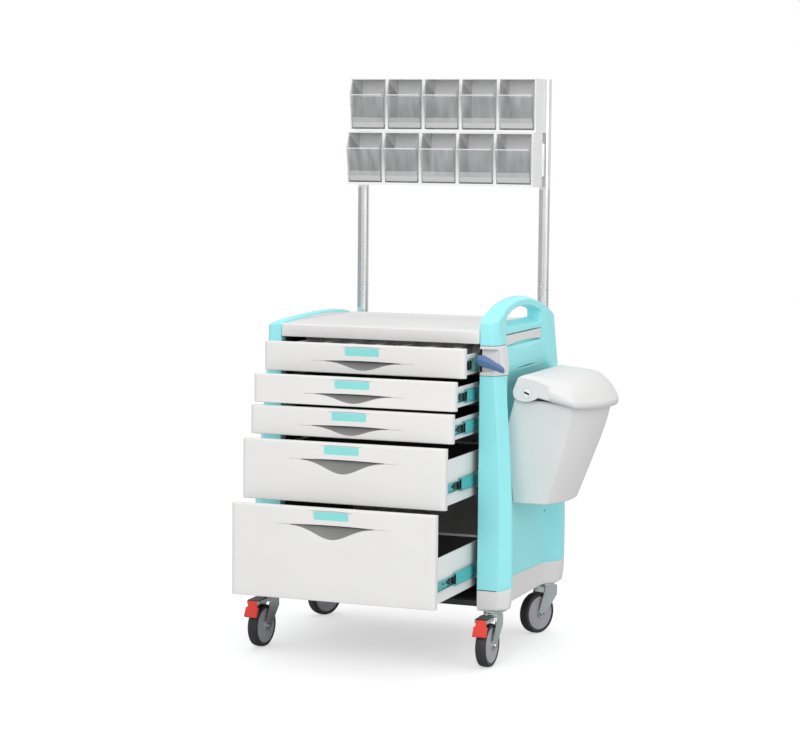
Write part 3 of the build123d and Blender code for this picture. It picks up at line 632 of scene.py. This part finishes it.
def make_lock():
    rings = []
    for z in (LOCK_LOW_Z + 0.8, 845.0, 866.0, 887.0, LOCK_HIGH_Z - 0.6):
        outline = filleted(panel_corners(z, PANEL_FRONT_Y - 1.0, 0.8, 8.0))
        rings.append([(x, min(y, LOCK_BACK_Y - 0.8), z) for x, y in outline])
    housing = mesh_object("housing", *loft_mesh(rings))
    scoop = filleted([(296.0, 831.0, 4.0), (296.0, 898.0, 4.0), (354.0, 898.0, 12.0), (357.0, 838.0, 14.0)])
    deep = [(x, -256.0 + 0.12 * (x - 296.0), z) for x, z in scoop]
    combine(housing, loft_mesh([[(x, -300.0, z) for x, z in scoop], deep]), "DIFFERENCE")
    dress(moulded(housing, "lock_insert", 1.5, 4, 0.6), "light_grey", "cart", ("lock_housing",))

    # along the arm: distance, centre height, half height, half depth
    stations = [(-15.5, 0.0, 4.0, 5.0), (-14.0, 0.5, 11.0, 8.0), (-7.0, 1.0, 16.0, 10.0),
                (4.0, 0.0, 17.0, 11.0), (20.0, -5.0, 14.5, 10.0), (38.0, -13.0, 12.0, 9.0),
                (54.0, -19.5, 10.5, 8.0), (63.0, -23.5, 8.5, 7.0), (65.5, -24.5, 4.5, 4.5)]
    # faceted section, as shares of the half depth and half height
    section = ((-0.75, -0.75), (-0.1, -1.0), (0.62, -1.0), (1.0, -0.55), (1.0, 0.55), (0.35, 1.0),
               (-0.35, 1.0), (-1.0, 0.25))
    rings = []
    for along, centre, high, deep in stations:
        rings.append([(LEVER_AT[0] + along, LEVER_AT[1] - 12 + sx * deep, LEVER_AT[2] + centre + sz * high)
                      for sx, sz in section])
    piece("lever", *loft_mesh(rings), "blue", "lock_lever", ("lock_lever",), bevel=0.8)
    spindle = lathe_mesh([(-4.0, 5.0), (34.0, 5.0)], LEVER_AT, "y", 24)
    piece("lever_spindle", *spindle, "zinc", "lock_lever", bevel=0.6)


# ---- worktop ------------------------------------------------------------------------------------
def make_worktop():
    """Moulded top: rounded front edge, a low rim all round and a sunken field."""
    half, rear, top, bottom = 305.9, 283.0, WORKTOP_TOP_Z, 912.0
    left = MIDDLE_X - half
    corners = (left, WORKTOP_FRONT_Y), (MIDDLE_X + half, rear)
    # inset, height and corner radius, from the underside round the edge to the sunken field
    profile = [(4.0, bottom, 8.0), (1.0, bottom + 1.0, 9.0), (0.0, bottom + 4.0, 10.0),
               (0.0, top - 5.0, 10.0), (0.8, top - 2.4, 10.0), (2.2, top - 0.9, 10.5), (4.5, top, 11.0),
               (9.0, top, 12.0), (13.0, top - 0.4, 13.0), (17.0, top - 2.6, 15.0), (21.0, top - 4.0, 17.0),
               (30.0, top - 4.2, 20.0)]
    rings = [rounded_ring(*corners, inset, radius, z, 8) for inset, z, radius in profile]
    worktop = mesh_object("worktop_top", *loft_mesh(rings))
    combine(worktop, block_mesh((270, -184, 905), (310, 142, 933)), "DIFFERENCE")
    dress(worktop, "light_grey", "cart", ("worktop",))
    # upturned edge that follows the low cap on the left
    rim = [(y, z - 9.0) for y, z in curve_points(LOW_RIM_LINE, -266.0, 262.0, 40)]
    upturn = [(-266.0, top - 6.0)] + rim + [(262.0, top - 6.0)]
    piece("worktop_upturn", *prism_mesh(upturn, "x", left + 0.3, left + 6.0), "light_grey", "cart", bevel=1.2)


# ---- drawers ------------------------------------------------------------------------------------
DRAWER_COUNT = 5
BIG_DRAWERS = (4, 5)
GRIP_BELOW_TOP = 51.0
GRIP_DEPTH = 15.0
TRAY_RIGHT_X = 283.0
TRAY_SHEET = 1.5
# the front's face lies this far inside the CAD front, so that its label and the painted shade of its recess
# stay inside too
SKIN = 0.3
# the tall trays' sheet walls stop this far below the CAD envelope's top
TALL_TRAY_LOWER = 17.0


def grip_shape(across, z1, grip_half, grip_drop):
    """Upper edge, lower edge and depth of the finger recess at a place across the front."""
    share = min(1.0, abs(across) / grip_half)
    bell = math.exp(-(share / 0.42) ** 2) * (1 - share ** 4)
    upper = z1 - GRIP_BELOW_TOP + 4.5 * (1 - share * share)
    lower = upper - (grip_drop + 3.0) * bell - 1.2 * (1 - share)
    return upper, lower, GRIP_DEPTH * bell ** 0.4 if bell > 0 else 0.0


def grip_sink(depth, share):
    """How far the recess lies behind the face, from its lower (0) to its upper edge (1)."""
    return depth * math.sin(math.pi / 2 * share) ** 1.3


def front_mesh(x_half, face_y, back_y, z0, z1, grip_half, grip_drop):
    """Front with bevelled ends, softly rounded edges and a crescent recess under a straight lip."""
    bevel, bevel_deep, edge_round = 10.0, 6.0, 3.2
    columns = [x_half - bevel, x_half - bevel + 0.8, x_half - 5.0, x_half - 1.6, x_half - 0.6, x_half]
    steps = 84
    inner = [(x_half - bevel) * step / steps for step in range(1 - steps, steps)]
    xs = [-x for x in reversed(columns)] + inner + columns
    scoop_rows = 10

    def end_setback(across):
        from_end = x_half - abs(across)
        slope = bevel_deep * max(0.0, 1 - from_end / bevel)
        return slope + 1.6 * max(0.0, 1 - from_end / 1.6) ** 2

    def rounding(distance, radius):
        if distance >= radius:
            return 0.0
        return radius - math.sqrt(max(0.0, radius ** 2 - (radius - distance) ** 2))

    edge_steps = [edge_round * (1 - math.cos(math.pi / 2 * i / 4)) for i in range(5)]
    rows = []
    for across in xs:
        x = MIDDLE_X + across
        upper, lower, depth = grip_shape(across, z1, grip_half, grip_drop)
        end = end_setback(across)
        column = [(x, back_y, z0)]
        for rise in edge_steps:
            column.append((x, face_y + end + rounding(rise, edge_round), z0 + rise))
        for i in range(1, 8):
            column.append((x, face_y + end, z0 + edge_round + (lower - z0 - edge_round) * i / 8))
        for i in range(scoop_rows + 1):
            share = i / scoop_rows
            column.append((x, face_y + end + grip_sink(depth, share), lower + (upper - lower) * share))
        column.append((x, face_y + end + depth * 0.2, upper + 0.3))
        column.append((x, face_y + end, upper + 0.9))
        for i in range(1, 5):
            column.append((x, face_y + end, upper + 0.9 + (z1 - edge_round - upper - 0.9) * i / 5))
        for rise in reversed(edge_steps):
            column.append((x, face_y + end + rounding(rise, edge_round), z1 - rise))
        column.append((x, back_y, z1))
        rows.append(column)
    return loft_mesh(rows)


def grip_painted_shade_mesh(face_y, z1, grip_half, grip_drop):
    """Painted shade of the finger recess: a dark grey skin just proud of the front's own surface."""
    rings = []
    rows = 8
    for step in range(-40, 41):
        across = 0.72 * grip_half * step / 40
        upper, lower, depth = grip_shape(across, z1, grip_half, grip_drop)
        skin, back = [], []
        for row in range(rows + 1):
            share = row / rows
            z = lower + (upper - lower) * share
            y = face_y + grip_sink(depth, share)
            skin.append((MIDDLE_X + across, y - 0.25, z))
            back.append((MIDDLE_X + across, y + 0.8, z))
        rings.append(skin + back[::-1])
    return loft_mesh(rings)


def grip_shadow_mesh(face_y, z1, grip_half, grip_drop):
    """Black strip along the top of the recess: painted shadow of the undercut, where the moulding is open
    behind the lip.
    """
    rings = []
    for step in range(31):
        across = grip_half * (-0.47 + 1.07 * step / 30)
        upper, _, depth = grip_shape(across, z1, grip_half, grip_drop)
        thick = 1.9 * math.sin(math.pi * (step + 0.5) / 31) ** 0.5
        y = face_y + min(1.6, depth * 0.5)
        rings.append([(MIDDLE_X + across, y, upper - thick), (MIDDLE_X + across, y, upper + 0.3),
                      (MIDDLE_X + across, y + 2.0, upper + 0.3), (MIDDLE_X + across, y + 2.0, upper - thick)])
    return loft_mesh(rings)


def label_mesh(face_y, z1):
    """Card held in a shallow holder, proud of the front by less than a millimetre."""
    middle_z = z1 - 20.5
    outline = filleted([(-52, z1 - 32, 5.0), (52, z1 - 32, 5.0), (53, z1 - 9, 5.0), (-53, z1 - 9, 5.0)], 5)

    def ring(y, size):
        return [(MIDDLE_X - 2.0 + x * size, y, middle_z + (z - middle_z) * size) for x, z in outline]

    return loft_mesh([ring(face_y - 0.2, 0.99), ring(face_y + 0.15, 1.0), ring(face_y + 1.2, 1.0)])


def slot_shade_mesh(face_y, z1):
    """Thin curved pull slot above the card, drawn as a grey strip on the face: painted shade of the slot."""
    rings = []
    for x in range(-66, 67, 6):
        drop = 1.6 * (x / 66) ** 2
        thick = 1.1 * (1 - (x / 66) ** 4) + 0.15
        z = z1 - 6.8 - drop
        at = MIDDLE_X - 2.0 + x
        rings.append([(at, face_y - 0.08, z - thick), (at, face_y - 0.08, z + thick),
                      (at, face_y + 1.0, z + thick), (at, face_y + 1.0, z - thick)])
    return loft_mesh(rings)


def rounded_ring(low, high, inset, radius, z, steps=4):
    """Rectangle between two corners, drawn in by inset, with rounded corners."""
    x0, y0, x1, y1 = low[0] + inset, low[1] + inset, high[0] - inset, high[1] - inset
    corners = [(x0, y0, radius), (x1, y0, radius), (x1, y1, radius), (x0, y1, radius)]
    return [(x, y, z) for x, y in filleted(corners, steps)]


def tray_walls(low, high, wall, rim):
    """Side walls of a tray with a rolled top rim, as one loft round the tray."""
    profile = [(1.5, low.z), (0.0, low.z + 1.5), (0.0, high.z - 7.0), (0.0, high.z - 6.0),
               (0.0, high.z - 1.2), (0.8, high.z - 0.2), (rim - 1.0, high.z), (rim, high.z - 1.0),
               (rim, high.z - 6.0), (wall, high.z - 6.5)]
    return loft_mesh([rounded_ring(low, high, inset, 6.0, z) for inset, z in profile], cap_last=False)


def liner_mesh(low, high, wall, floor):
    """Inside faces of a tray: walls down to a floor with a rounded corner."""
    profile = [(wall + 0.05, high.z - 6.4), (wall + 0.4, low.z + floor + 6.0),
               (wall + 1.8, low.z + floor + 2.0), (wall + 5.0, low.z + floor)]
    return loft_mesh([rounded_ring(low, high, inset, 9.0, z) for inset, z in profile], cap_first=False)


def make_drawer(number):
    body = f"drawer_{number}"
    low, high = cabinet_box(f"drawer_{number}_front")
    big = number in BIG_DRAWERS
    grip_half, grip_drop = (172.0, 35.0) if big else (159.0, 22.0)
    face_y = low.y + SKIN
    face = front_mesh(high.x - MIDDLE_X, face_y, high.y, low.z, high.z, grip_half, grip_drop)
    piece(f"front_{number}", *face, "front_white", body, (f"drawer_{number}_front",))
    # dark grey skin over the finger recess: painted shade
    grip_shade_skin = grip_painted_shade_mesh(face_y, high.z, grip_half, grip_drop)
    piece(f"grip_{number}", *grip_shade_skin, "grip_grey", body)
    # black strip under the lip: painted shadow of the undercut
    shadow = grip_shadow_mesh(face_y, high.z, grip_half, grip_drop)
    piece(f"grip_painted_shadow_{number}", *shadow, "black", body)
    piece(f"label_{number}", *label_mesh(face_y, high.z), "label", body)
    # grey strip above the card: painted shade of the pull slot
    piece(f"label_slot_shade_{number}", *slot_shade_mesh(face_y, high.z), "hub", body)

    tray_low, tray_high = cabinet_box(f"drawer_{number}_box")
    half = TRAY_RIGHT_X - MIDDLE_X
    tray_low.x, tray_high.x = MIDDLE_X - half, MIDDLE_X + half
    if big:
        tray_high.z -= TALL_TRAY_LOWER
    walls = tray_walls(tray_low, tray_high, TRAY_SHEET, 5.0)
    piece(f"tray_{number}", *walls, "white", body, (f"drawer_{number}_box",))
    liner = liner_mesh(tray_low, tray_high, TRAY_SHEET, TRAY_SHEET)
    piece(f"tray_liner_{number}", *liner, "liner", body)
    make_slides(number, body, tray_low)


SLIDE_LENGTH = 460.0
HOLE_SHADE_OFFSETS = (16.0, 40.0, 90.0, 150.0)
# release latch of the right slide: corners, Y from the latch's place and Z from the slide's middle
LATCH_BLOCKS = [((285.2, 0.0, -11.0), (290.0, 22.0, 11.0)), ((286.4, -8.0, 6.0), (289.6, 12.0, 12.5)),
                ((284.6, -46.0, -4.0), (287.0, -14.0, 4.0)), ((284.6, -30.0, -9.0), (287.6, -22.0, 9.0))]


def channel_outline(web, lip, half, sheet, height):
    """Section of a rolled slide member, open towards lip, with rounded bends."""
    d = sheet if lip > web else -sheet
    return [(web, height - half + 2), (web + d * 1.2, height - half), (lip, height - half),
            (lip, height - half + sheet), (web + d * 2, height - half + sheet + 0.6),
            (web + d, height - half + 3), (web + d, height + half - 3),
            (web + d * 2, height + half - sheet - 0.6),
            (lip, height + half - sheet), (lip, height + half), (web + d * 1.2, height + half),
            (web, height + half - 2)]


def make_slides(number, body, tray_low):
    """Drawer and middle members of both slides, their latch, ball cages, and black discs on the drawer
    members: painted shade of their holes.
    """
    middle_low, middle_high = cabinet_box(f"slide_{number}_middle")
    height = (middle_low.z + middle_high.z) / 2
    start = tray_low.y + 2.0
    inner_parts, middle_parts, latch_parts, cage_parts, hole_shade_parts = [], [], [], [], []
    for handed in (lambda mesh_data: mesh_data, mirror_x):
        inner = channel_outline(283.3, 290.5, 13.2, 1.2, height)
        inner_parts.append(handed(prism_mesh(inner, "y", start, start + SLIDE_LENGTH)))
        middle = channel_outline(293.6, 285.9, 18.4, 1.2, height)
        middle_parts.append(handed(prism_mesh(middle, "y", middle_low.y, middle_high.y)))
        for (x0, y0, z0), (x1, y1, z1) in LATCH_BLOCKS:
            y = middle_low.y - 9.0
            latch_parts.append(handed(block_mesh((x0, y + y0, height + z0), (x1, y + y1, height + z1))))
        for z in (height - 15.4, height + 15.4):
            cage = block_mesh((287.0, middle_low.y + 3, z - 1.5), (292.0, middle_low.y + 70, z + 1.5))
            cage_parts.append(handed(cage))
        # black discs where the drawer member's holes show dark: painted shade
        for offset in HOLE_SHADE_OFFSETS:
            hole_shade_parts.append(handed(lathe_mesh([(284.4, 3.8), (285.4, 3.6), (285.8, 2.4)],
                                                 (0.0, start + offset, height), "x", 14)))
    piece(f"slide_inner_{number}", *join_meshes(inner_parts), "slide_zinc", body)
    piece(f"slide_latch_{number}", *join_meshes(latch_parts), "black", body, bevel=1.2)
    piece(f"slide_hole_shades_{number}", *join_meshes(hole_shade_parts), "black", body)
    piece(f"slide_middle_{number}", *join_meshes(middle_parts), "slide_zinc", f"slide_{number}",
          (f"slide_{number}_middle",))
    piece(f"slide_cage_{number}", *join_meshes(cage_parts), "zinc", f"slide_{number}", bevel=0.5)


# ---- side shelf ---------------------------------------------------------------------------------
def make_shelf():
    low, high = cabinet_box("side_shelf")
    board = block_mesh((low.x, low.y + 4.2, 917.0), (high.x - 6, high.y - 4.2, 929.0))
    piece("shelf_board", *board, "light_grey", "side_shelf", ("side_shelf",), bevel=2.0, segments=3)
    rings = []
    for step in range(41):
        t = step / 40
        y = low.y + (high.y - low.y) * t
        lower = low.z + 7.0 * math.sin(math.pi * t) ** 0.8
        rings.append([(high.x - 8, y, lower), (high.x - 1.2, y, lower), (high.x, y, lower + 1.2),
                      (high.x, y, high.z - 1.2), (high.x - 1.2, y, high.z), (high.x - 8, y, high.z)])
    piece("shelf_pull", *loft_mesh(rings), "light_grey", "side_shelf")


# ---- mast and tilt bins -------------------------------------------------------------------------
POST_X = 297.0
POST_FRONT_Y = 317.0
POST_HALF = 15.0


def make_mast():
    finish_node("mast_posts", "aluminium")
    finish_node("mast_brackets", "aluminium", 1.5, 3)
    bands, screws, grooves, shade_bands = [], [], [], []
    for side in (-1, 1):
        x = side * POST_X
        for z in (1020.0, 1046.0):
            screws.append(lathe_mesh([(-0.2, 2.4), (-0.5, 4.2), (0.6, 4.6)], (x, POST_FRONT_Y, z), "y", 18))
        corners = (x - POST_HALF, POST_FRONT_Y), (x + POST_HALF, POST_FRONT_Y + 2 * POST_HALF - 0.2)
        bands.append(loft_mesh([rounded_ring(*corners, -0.2, 7.0, z, 5) for z in (1031.0, 1034.0)]))
        # black strip down the right side of each post: painted shade
        grooves.append(block_mesh((x + POST_HALF - 0.9, POST_FRONT_Y + 9.0, 700.0),
                                  (x + POST_HALF + 0.1, POST_FRONT_Y + 12.5, 1340.0)))
        # darker band on the left half of each post front: painted shade of the rounded post
        shade_bands.append(block_mesh((x - POST_HALF + 3.0, POST_FRONT_Y - 0.15, 960.0),
                                 (x - 1.0, POST_FRONT_Y + 0.4, 1338.0)))
    piece("mast_joint_bands", *join_meshes(bands), "zinc", "cart")
    piece("mast_screws", *join_meshes(screws), "zinc", "cart")
    piece("mast_edge_shadows", *join_meshes(grooves), "black", "cart")
    piece("mast_painted_shade_bands", *join_meshes(shade_bands), "satin", "cart")


def make_tilt_rows():
    """Clear bins, each with a white rim and white front edge strips as painted highlights of the clear edges,
    a lighter grey strip low on the front, and their housings.
    """
    for row in ("upper", "lower"):
        housing = f"tilt_housing_{row}"
        finish_node(housing, "white", 0.8)
        for column in range(1, 6):
            name = f"tilt_bin_{row}_{column}"
            finish_node(name, "clear", 0.4)
            low, high = cabinet_box(name)
            left, right = low.x + 4.0, high.x - 4.0
            # white strip along the rim: painted highlight of the clear rim
            rim = block_mesh((left, low.y, low.z + 100.2), (right, low.y + 2.4, low.z + 102.8))
            piece(f"rim_highlight_{row}_{column}", *rim, "white", name, bevel=0.8)
            strip = [(low.y + 25.0, low.z + 3.0), (low.y + 27.0, low.z + 3.0), (low.y + 19.5, low.z + 33.0),
                     (low.y + 18.5, low.z + 33.0)]
            strip = prism_mesh(strip, "x", left + 3.0, right - 3.0)
            piece(f"bin_base_{row}_{column}", *strip, "strip_grey", name)
            # white strips down the front edges: painted highlights of the clear edges
            edges = []
            for x in (left, right - 2.0):
                edges.append(block_mesh((x, low.y + 27.0, low.z + 10.0),
                                        (x + 2.0, low.y + 29.0, low.z + 99.0)))
            piece(f"bin_edge_highlights_{row}_{column}", *join_meshes(edges), "white", name, bevel=0.5)


# ---- waste bin ----------------------------------------------------------------------------------
LID_PIVOT = (421.0, 0.0, 771.0)
LID_BACK_X = 393.0
LID_CORNER_X = 562.0
LID_REACH = 620.0
LID_Y0 = -203.0
LID_Y1 = 207.0
WALL = 3.0


def bin_outline(back_x, corner_x, bulge, y0, y1, radius):
    """D-shaped plan: flat back, straight cheeks and a bowed front."""
    corners = [(back_x, y1, radius * 0.35), (back_x, y0, radius * 0.35)]
    steps = 16
    bow = []
    for step in range(steps + 1):
        t = step / steps
        reach = 6.0 if step in (0, steps) else 0.0
        bow.append((corner_x + 4 * bulge * t * (1 - t), y0 + (y1 - y0) * t, reach))
    return filleted(corners + bow, 5)


# height, back face, near corner, bow of the front, near and far sides
BODY_SECTIONS = [(442.0, 364.0, 464.0, 38.0, -142.0, 146.0), (560.0, 357.0, 502.0, 46.0, -157.0, 160.0),
                 (660.0, 352.5, 533.0, 52.0, -169.0, 171.0), (735.0, 373.0, 549.0, 55.0, -181.0, 184.0),
                 (800.0, 392.0, 561.0, 56.0, -190.0, 194.0)]
BODY_BOTTOM_Z = 442.0


def body_section(z):
    return [smooth_curve([(s[0], s[k]) for s in BODY_SECTIONS], z) for k in range(1, 6)]


def body_top(x):
    return smooth_curve([(370.0, 750.0), (384.0, 752.0), (392.0, 766.0), (452.0, 764.0), (560.0, 740.0),
                         (640.0, 734.0)], x)


def make_waste_bin():
    start_z = BODY_BOTTOM_Z + 5.0
    rings = [[(x, y, BODY_BOTTOM_Z) for x, y in bin_outline(374.0, 454.0, 34.0, -132.0, 136.0, 14.0)],
             [(x, y, BODY_BOTTOM_Z + 1.5) for x, y in bin_outline(367.0, 461.0, 37.0, -139.0, 143.0, 14.0)]]
    rows = 22
    for row in range(rows + 1):
        share = row / rows
        ring = []
        for index in range(len(bin_outline(*body_section(start_z), 16.0))):
            z = start_z
            for _ in range(4):
                x, y = bin_outline(*body_section(z), 16.0)[index]
                z = start_z + (body_top(x) - start_z) * share
            ring.append((x, y, z))
        rings.append(ring)
    piece("bin_body", *loft_mesh(rings, cap_last=False), "bin_grey", "cart", ("waste_bin",), thicken=WALL)
    pins = []
    for inner, outer, radius, steps in ((-181.0, -199.5, 15.0, 32), (185.0, 203.5, 15.0, 32),
                                        (-190.0, -203.8, 6.0, 24), (190.0, 207.8, 6.0, 24)):
        pins.append(lathe_mesh([(inner, radius), (outer, radius)], LID_PIVOT, "y", steps))
    piece("bin_pivots", *join_meshes(pins), "bin_grey", "cart")


# crown of the lid along its middle, and the fall of its side edges (x, z)
LID_CROWN = [(393.0, 814.0), (405.0, 820.0), (441.0, 825.5), (486.0, 826.0), (519.0, 821.0), (550.0, 810.0),
             (580.0, 792.0), (602.0, 772.0), (620.0, 748.0)]
LID_EDGE = [(393.0, 814.0), (405.0, 818.5), (420.0, 820.0), (441.0, 817.0), (461.0, 808.0), (491.0, 795.5),
            (514.0, 784.5), (540.0, 768.0), (562.0, 750.0)]
LID_DIP = 7.0


def lid_height(x, y):
    """Domed top: high at the back, falling to a level rim in front."""
    across = min(1.0, abs(y - (LID_Y0 + LID_Y1) / 2) / ((LID_Y1 - LID_Y0) / 2))
    edge_x = LID_CORNER_X + (LID_REACH - LID_CORNER_X) * (1 - across ** 2)
    share = min(1.0, max(0.0, (x - LID_BACK_X) / (edge_x - LID_BACK_X)))
    crown = smooth_curve(LID_CROWN, LID_BACK_X + share * (LID_REACH - LID_BACK_X))
    edge = smooth_curve(LID_EDGE, LID_BACK_X + share * (LID_CORNER_X - LID_BACK_X))
    return crown + (edge - crown) * across ** 12 - LID_DIP * share ** 8 * (1 - across ** 2)


def make_waste_lid():
    outline = bin_outline(LID_BACK_X, LID_CORNER_X, LID_REACH - LID_CORNER_X, LID_Y0, LID_Y1, 8.0)
    centre = (478.0, 2.0)

    def ring(shrink, drop=0.0):
        points = []
        for x, y in outline:
            px = x + (centre[0] - x) * shrink
            py = y + (centre[1] - y) * shrink
            points.append((px, py, lid_height(px, py) - drop))
        return points

    def low_edge(x, y):
        if abs(y - centre[1]) > 200.0 and x >= 395.0:
            return smooth_curve([(395.0, 772.0), (452.0, 761.0), (560.0, 735.0)], x)
        return 800.0 if x < 430.0 else lid_height(x, y) - 15.5

    rings = [[(x, y, low_edge(x, y)) for x, y in outline], ring(0.0, 2.0), ring(0.003, 0.7), ring(0.008, 0.0)]
    for shrink in (0.016, 0.03, 0.045, 0.065, 0.09, 0.12, 0.16, 0.2, 0.3, 0.42, 0.55, 0.7, 0.85, 0.97):
        rings.append(ring(shrink))
    piece("lid_shell", *loft_mesh(rings, cap_first=False), "bin_grey", "waste_bin_lid", ("waste_bin_lid",),
          thicken=WALL)

    # flat cheeks that carry the pivots, their lower edge rounded about the boss
    cheek = filleted([(395.0, 815.5, 5.0), (378.0, 775.0, 10.0), (384.0, 752.0, 16.0), (418.0, 744.0, 22.0),
                      (446.0, 753.0, 10.0), (456.0, 760.5, 3.0), (486.0, 753.0, 0.0), (486.0, 794.0, 0.0),
                      (441.0, 812.0, 20.0)])
    cheeks, bosses, grooves, slots = [], [], [], []
    # screwdriver slot across each boss, drawn as a black bar (painted shade of the slot), turned by this much
    tilt = 0.42
    key = []
    for along, rise in ((-8.6, -2.8), (8.6, -2.8), (8.6, 2.8), (-8.6, 2.8)):
        key.append((LID_PIVOT[0] + along * math.cos(tilt) + rise * math.sin(tilt),
                    LID_PIVOT[2] - along * math.sin(tilt) + rise * math.cos(tilt)))
    for face_y, out in ((LID_Y0, -1.0), (LID_Y1, 1.0)):
        def between(inner, outer):
            return sorted((face_y + out * inner, face_y + out * outer))
        cheeks.append(prism_mesh(cheek, "y", *between(-3.0, 0.25)))
        # grey ring round each boss: painted shade of the groove
        grooves.append(lathe_mesh([(face_y - out, 14.6), (face_y + out * 0.35, 14.6)], LID_PIVOT, "y", 48))
        boss = [(face_y - out, 13.4), (face_y + out * 0.7, 13.4), (face_y + out * 0.95, 12.6)]
        bosses.append(lathe_mesh(boss, LID_PIVOT, "y", 48))
        slots.append(prism_mesh(key, "y", *between(0.5, 1.0)))
    piece("lid_cheeks", *join_meshes(cheeks), "bin_grey", "waste_bin_lid", bevel=1.2)
    piece("lid_boss_groove_shadows", *join_meshes(grooves), "hub", "waste_bin_lid")
    piece("lid_bosses", *join_meshes(bosses), "white", "waste_bin_lid")
    piece("lid_boss_slot_shadows", *join_meshes(slots), "black", "waste_bin_lid")


# ---- castors ------------------------------------------------------------------------------------
# name, place of the swivel axis, and how far the fork is turned
CASTORS = (("front_right", 344.0, -251.0, -1.5), ("front_left", -358.0, -251.0, -4.5),
           ("rear_right", 344.0, 258.0, -25.0), ("rear_left", -358.0, 258.0, -24.0))
AXLE_Z = 54.5
TRAIL = 40.0


def turned(mesh_data, x0, y0, degrees):
    """Mesh written about a castor's swivel axis, turned and moved to its place."""
    c, s = math.cos(math.radians(degrees)), math.sin(math.radians(degrees))
    return [(x0 + x * c - y * s, y0 + x * s + y * c, z) for x, y, z in mesh_data[0]], mesh_data[1]


def make_castor(name, x0, y0, degrees):
    fork, wheel = f"castor_{name}_fork", f"castor_{name}_wheel"
    finish_node(fork, "chrome", 1.2, 3)
    axle = (0.0, -TRAIL, AXLE_Z)
    half_tread = [(4.0, 62.5), (10.0, 61.9), (14.0, 60.4), (15.8, 57.5), (15.6, 55.0), (13.5, 52.0),
                  (13.0, 48.0)]
    tread = [(-along, radius) for along, radius in half_tread[::-1]] + half_tread
    tyre = turned(lathe_mesh(tread, axle, "x", 72), x0, y0, degrees)
    piece(f"tyre_{name}", *tyre, "tyre", wheel, (wheel,))
    half_disc = [(19.6, 9.0), (19.6, 12.0), (15.5, 14.0), (14.3, 18.0), (14.1, 38.6), (13.3, 39.6),
                 (13.3, 40.4), (14.2, 41.4), (14.2, 45.0), (13.5, 45.8), (13.5, 46.6), (14.6, 47.6),
                 (14.6, 50.2), (12.5, 51.0)]
    disc = [(-along, radius) for along, radius in half_disc] + half_disc[::-1]
    piece(f"hub_{name}", *turned(lathe_mesh(disc, axle, "x", 72), x0, y0, degrees), "hub", wheel)
    nuts = []
    for side in (-1, 1):
        hexagon = []
        for corner in range(6):
            angle = math.pi / 3 * corner
            hexagon.append((-TRAIL + 8.6 * math.cos(angle), AXLE_Z + 8.6 * math.sin(angle)))
        nuts.append(prism_mesh(hexagon, "x", min(side * 23.2, side * 29.0), max(side * 23.2, side * 29.0)))
    piece(f"axle_nuts_{name}", *turned(join_meshes(nuts), x0, y0, degrees), "chrome", fork, bevel=1.0)
    if name.startswith("front"):
        finish_node(f"brake_pedal_{name[6:]}", "red", 1.6, 3)
        hood = prism_mesh(filleted([(-91.0, 129.0, 3.0), (-93.0, 137.5, 4.0), (-40.0, 140.0, 3.0),
                                    (-40.0, 133.0, 3.0)]), "x", -19.0, 19.0)
        piece(f"brake_hood_{name}", *turned(hood, x0, y0, degrees), "black", fork, bevel=0.8)


# ---- carcass and the rest -----------------------------------------------------------------------
def make_rest():
    finish_node("carcass_frame", "dark_steel")
    finish_node("base_frame", "dark_steel", 0.8)
    finish_node("back_panel", "light_grey", 0.4)
    finish_node("waste_bin_hanger", "dark_steel", 0.8)
    finish_node("slide_outer_members", "zinc")
    finish_node("lock_bar", "zinc", 0.5)
    finish_node("castor_plates", "zinc", 0.8)
    finish_node("drawer_1_dividers", "white", 0.5)


make_camera()
make_studio()
make_side_panels()
make_caps()
make_lock()
make_worktop()
for drawer_number in range(1, DRAWER_COUNT + 1):
    make_drawer(drawer_number)
make_shelf()
make_mast()
make_tilt_rows()
make_waste_bin()
make_waste_lid()
for castor in CASTORS:
    make_castor(*castor)
make_rest()
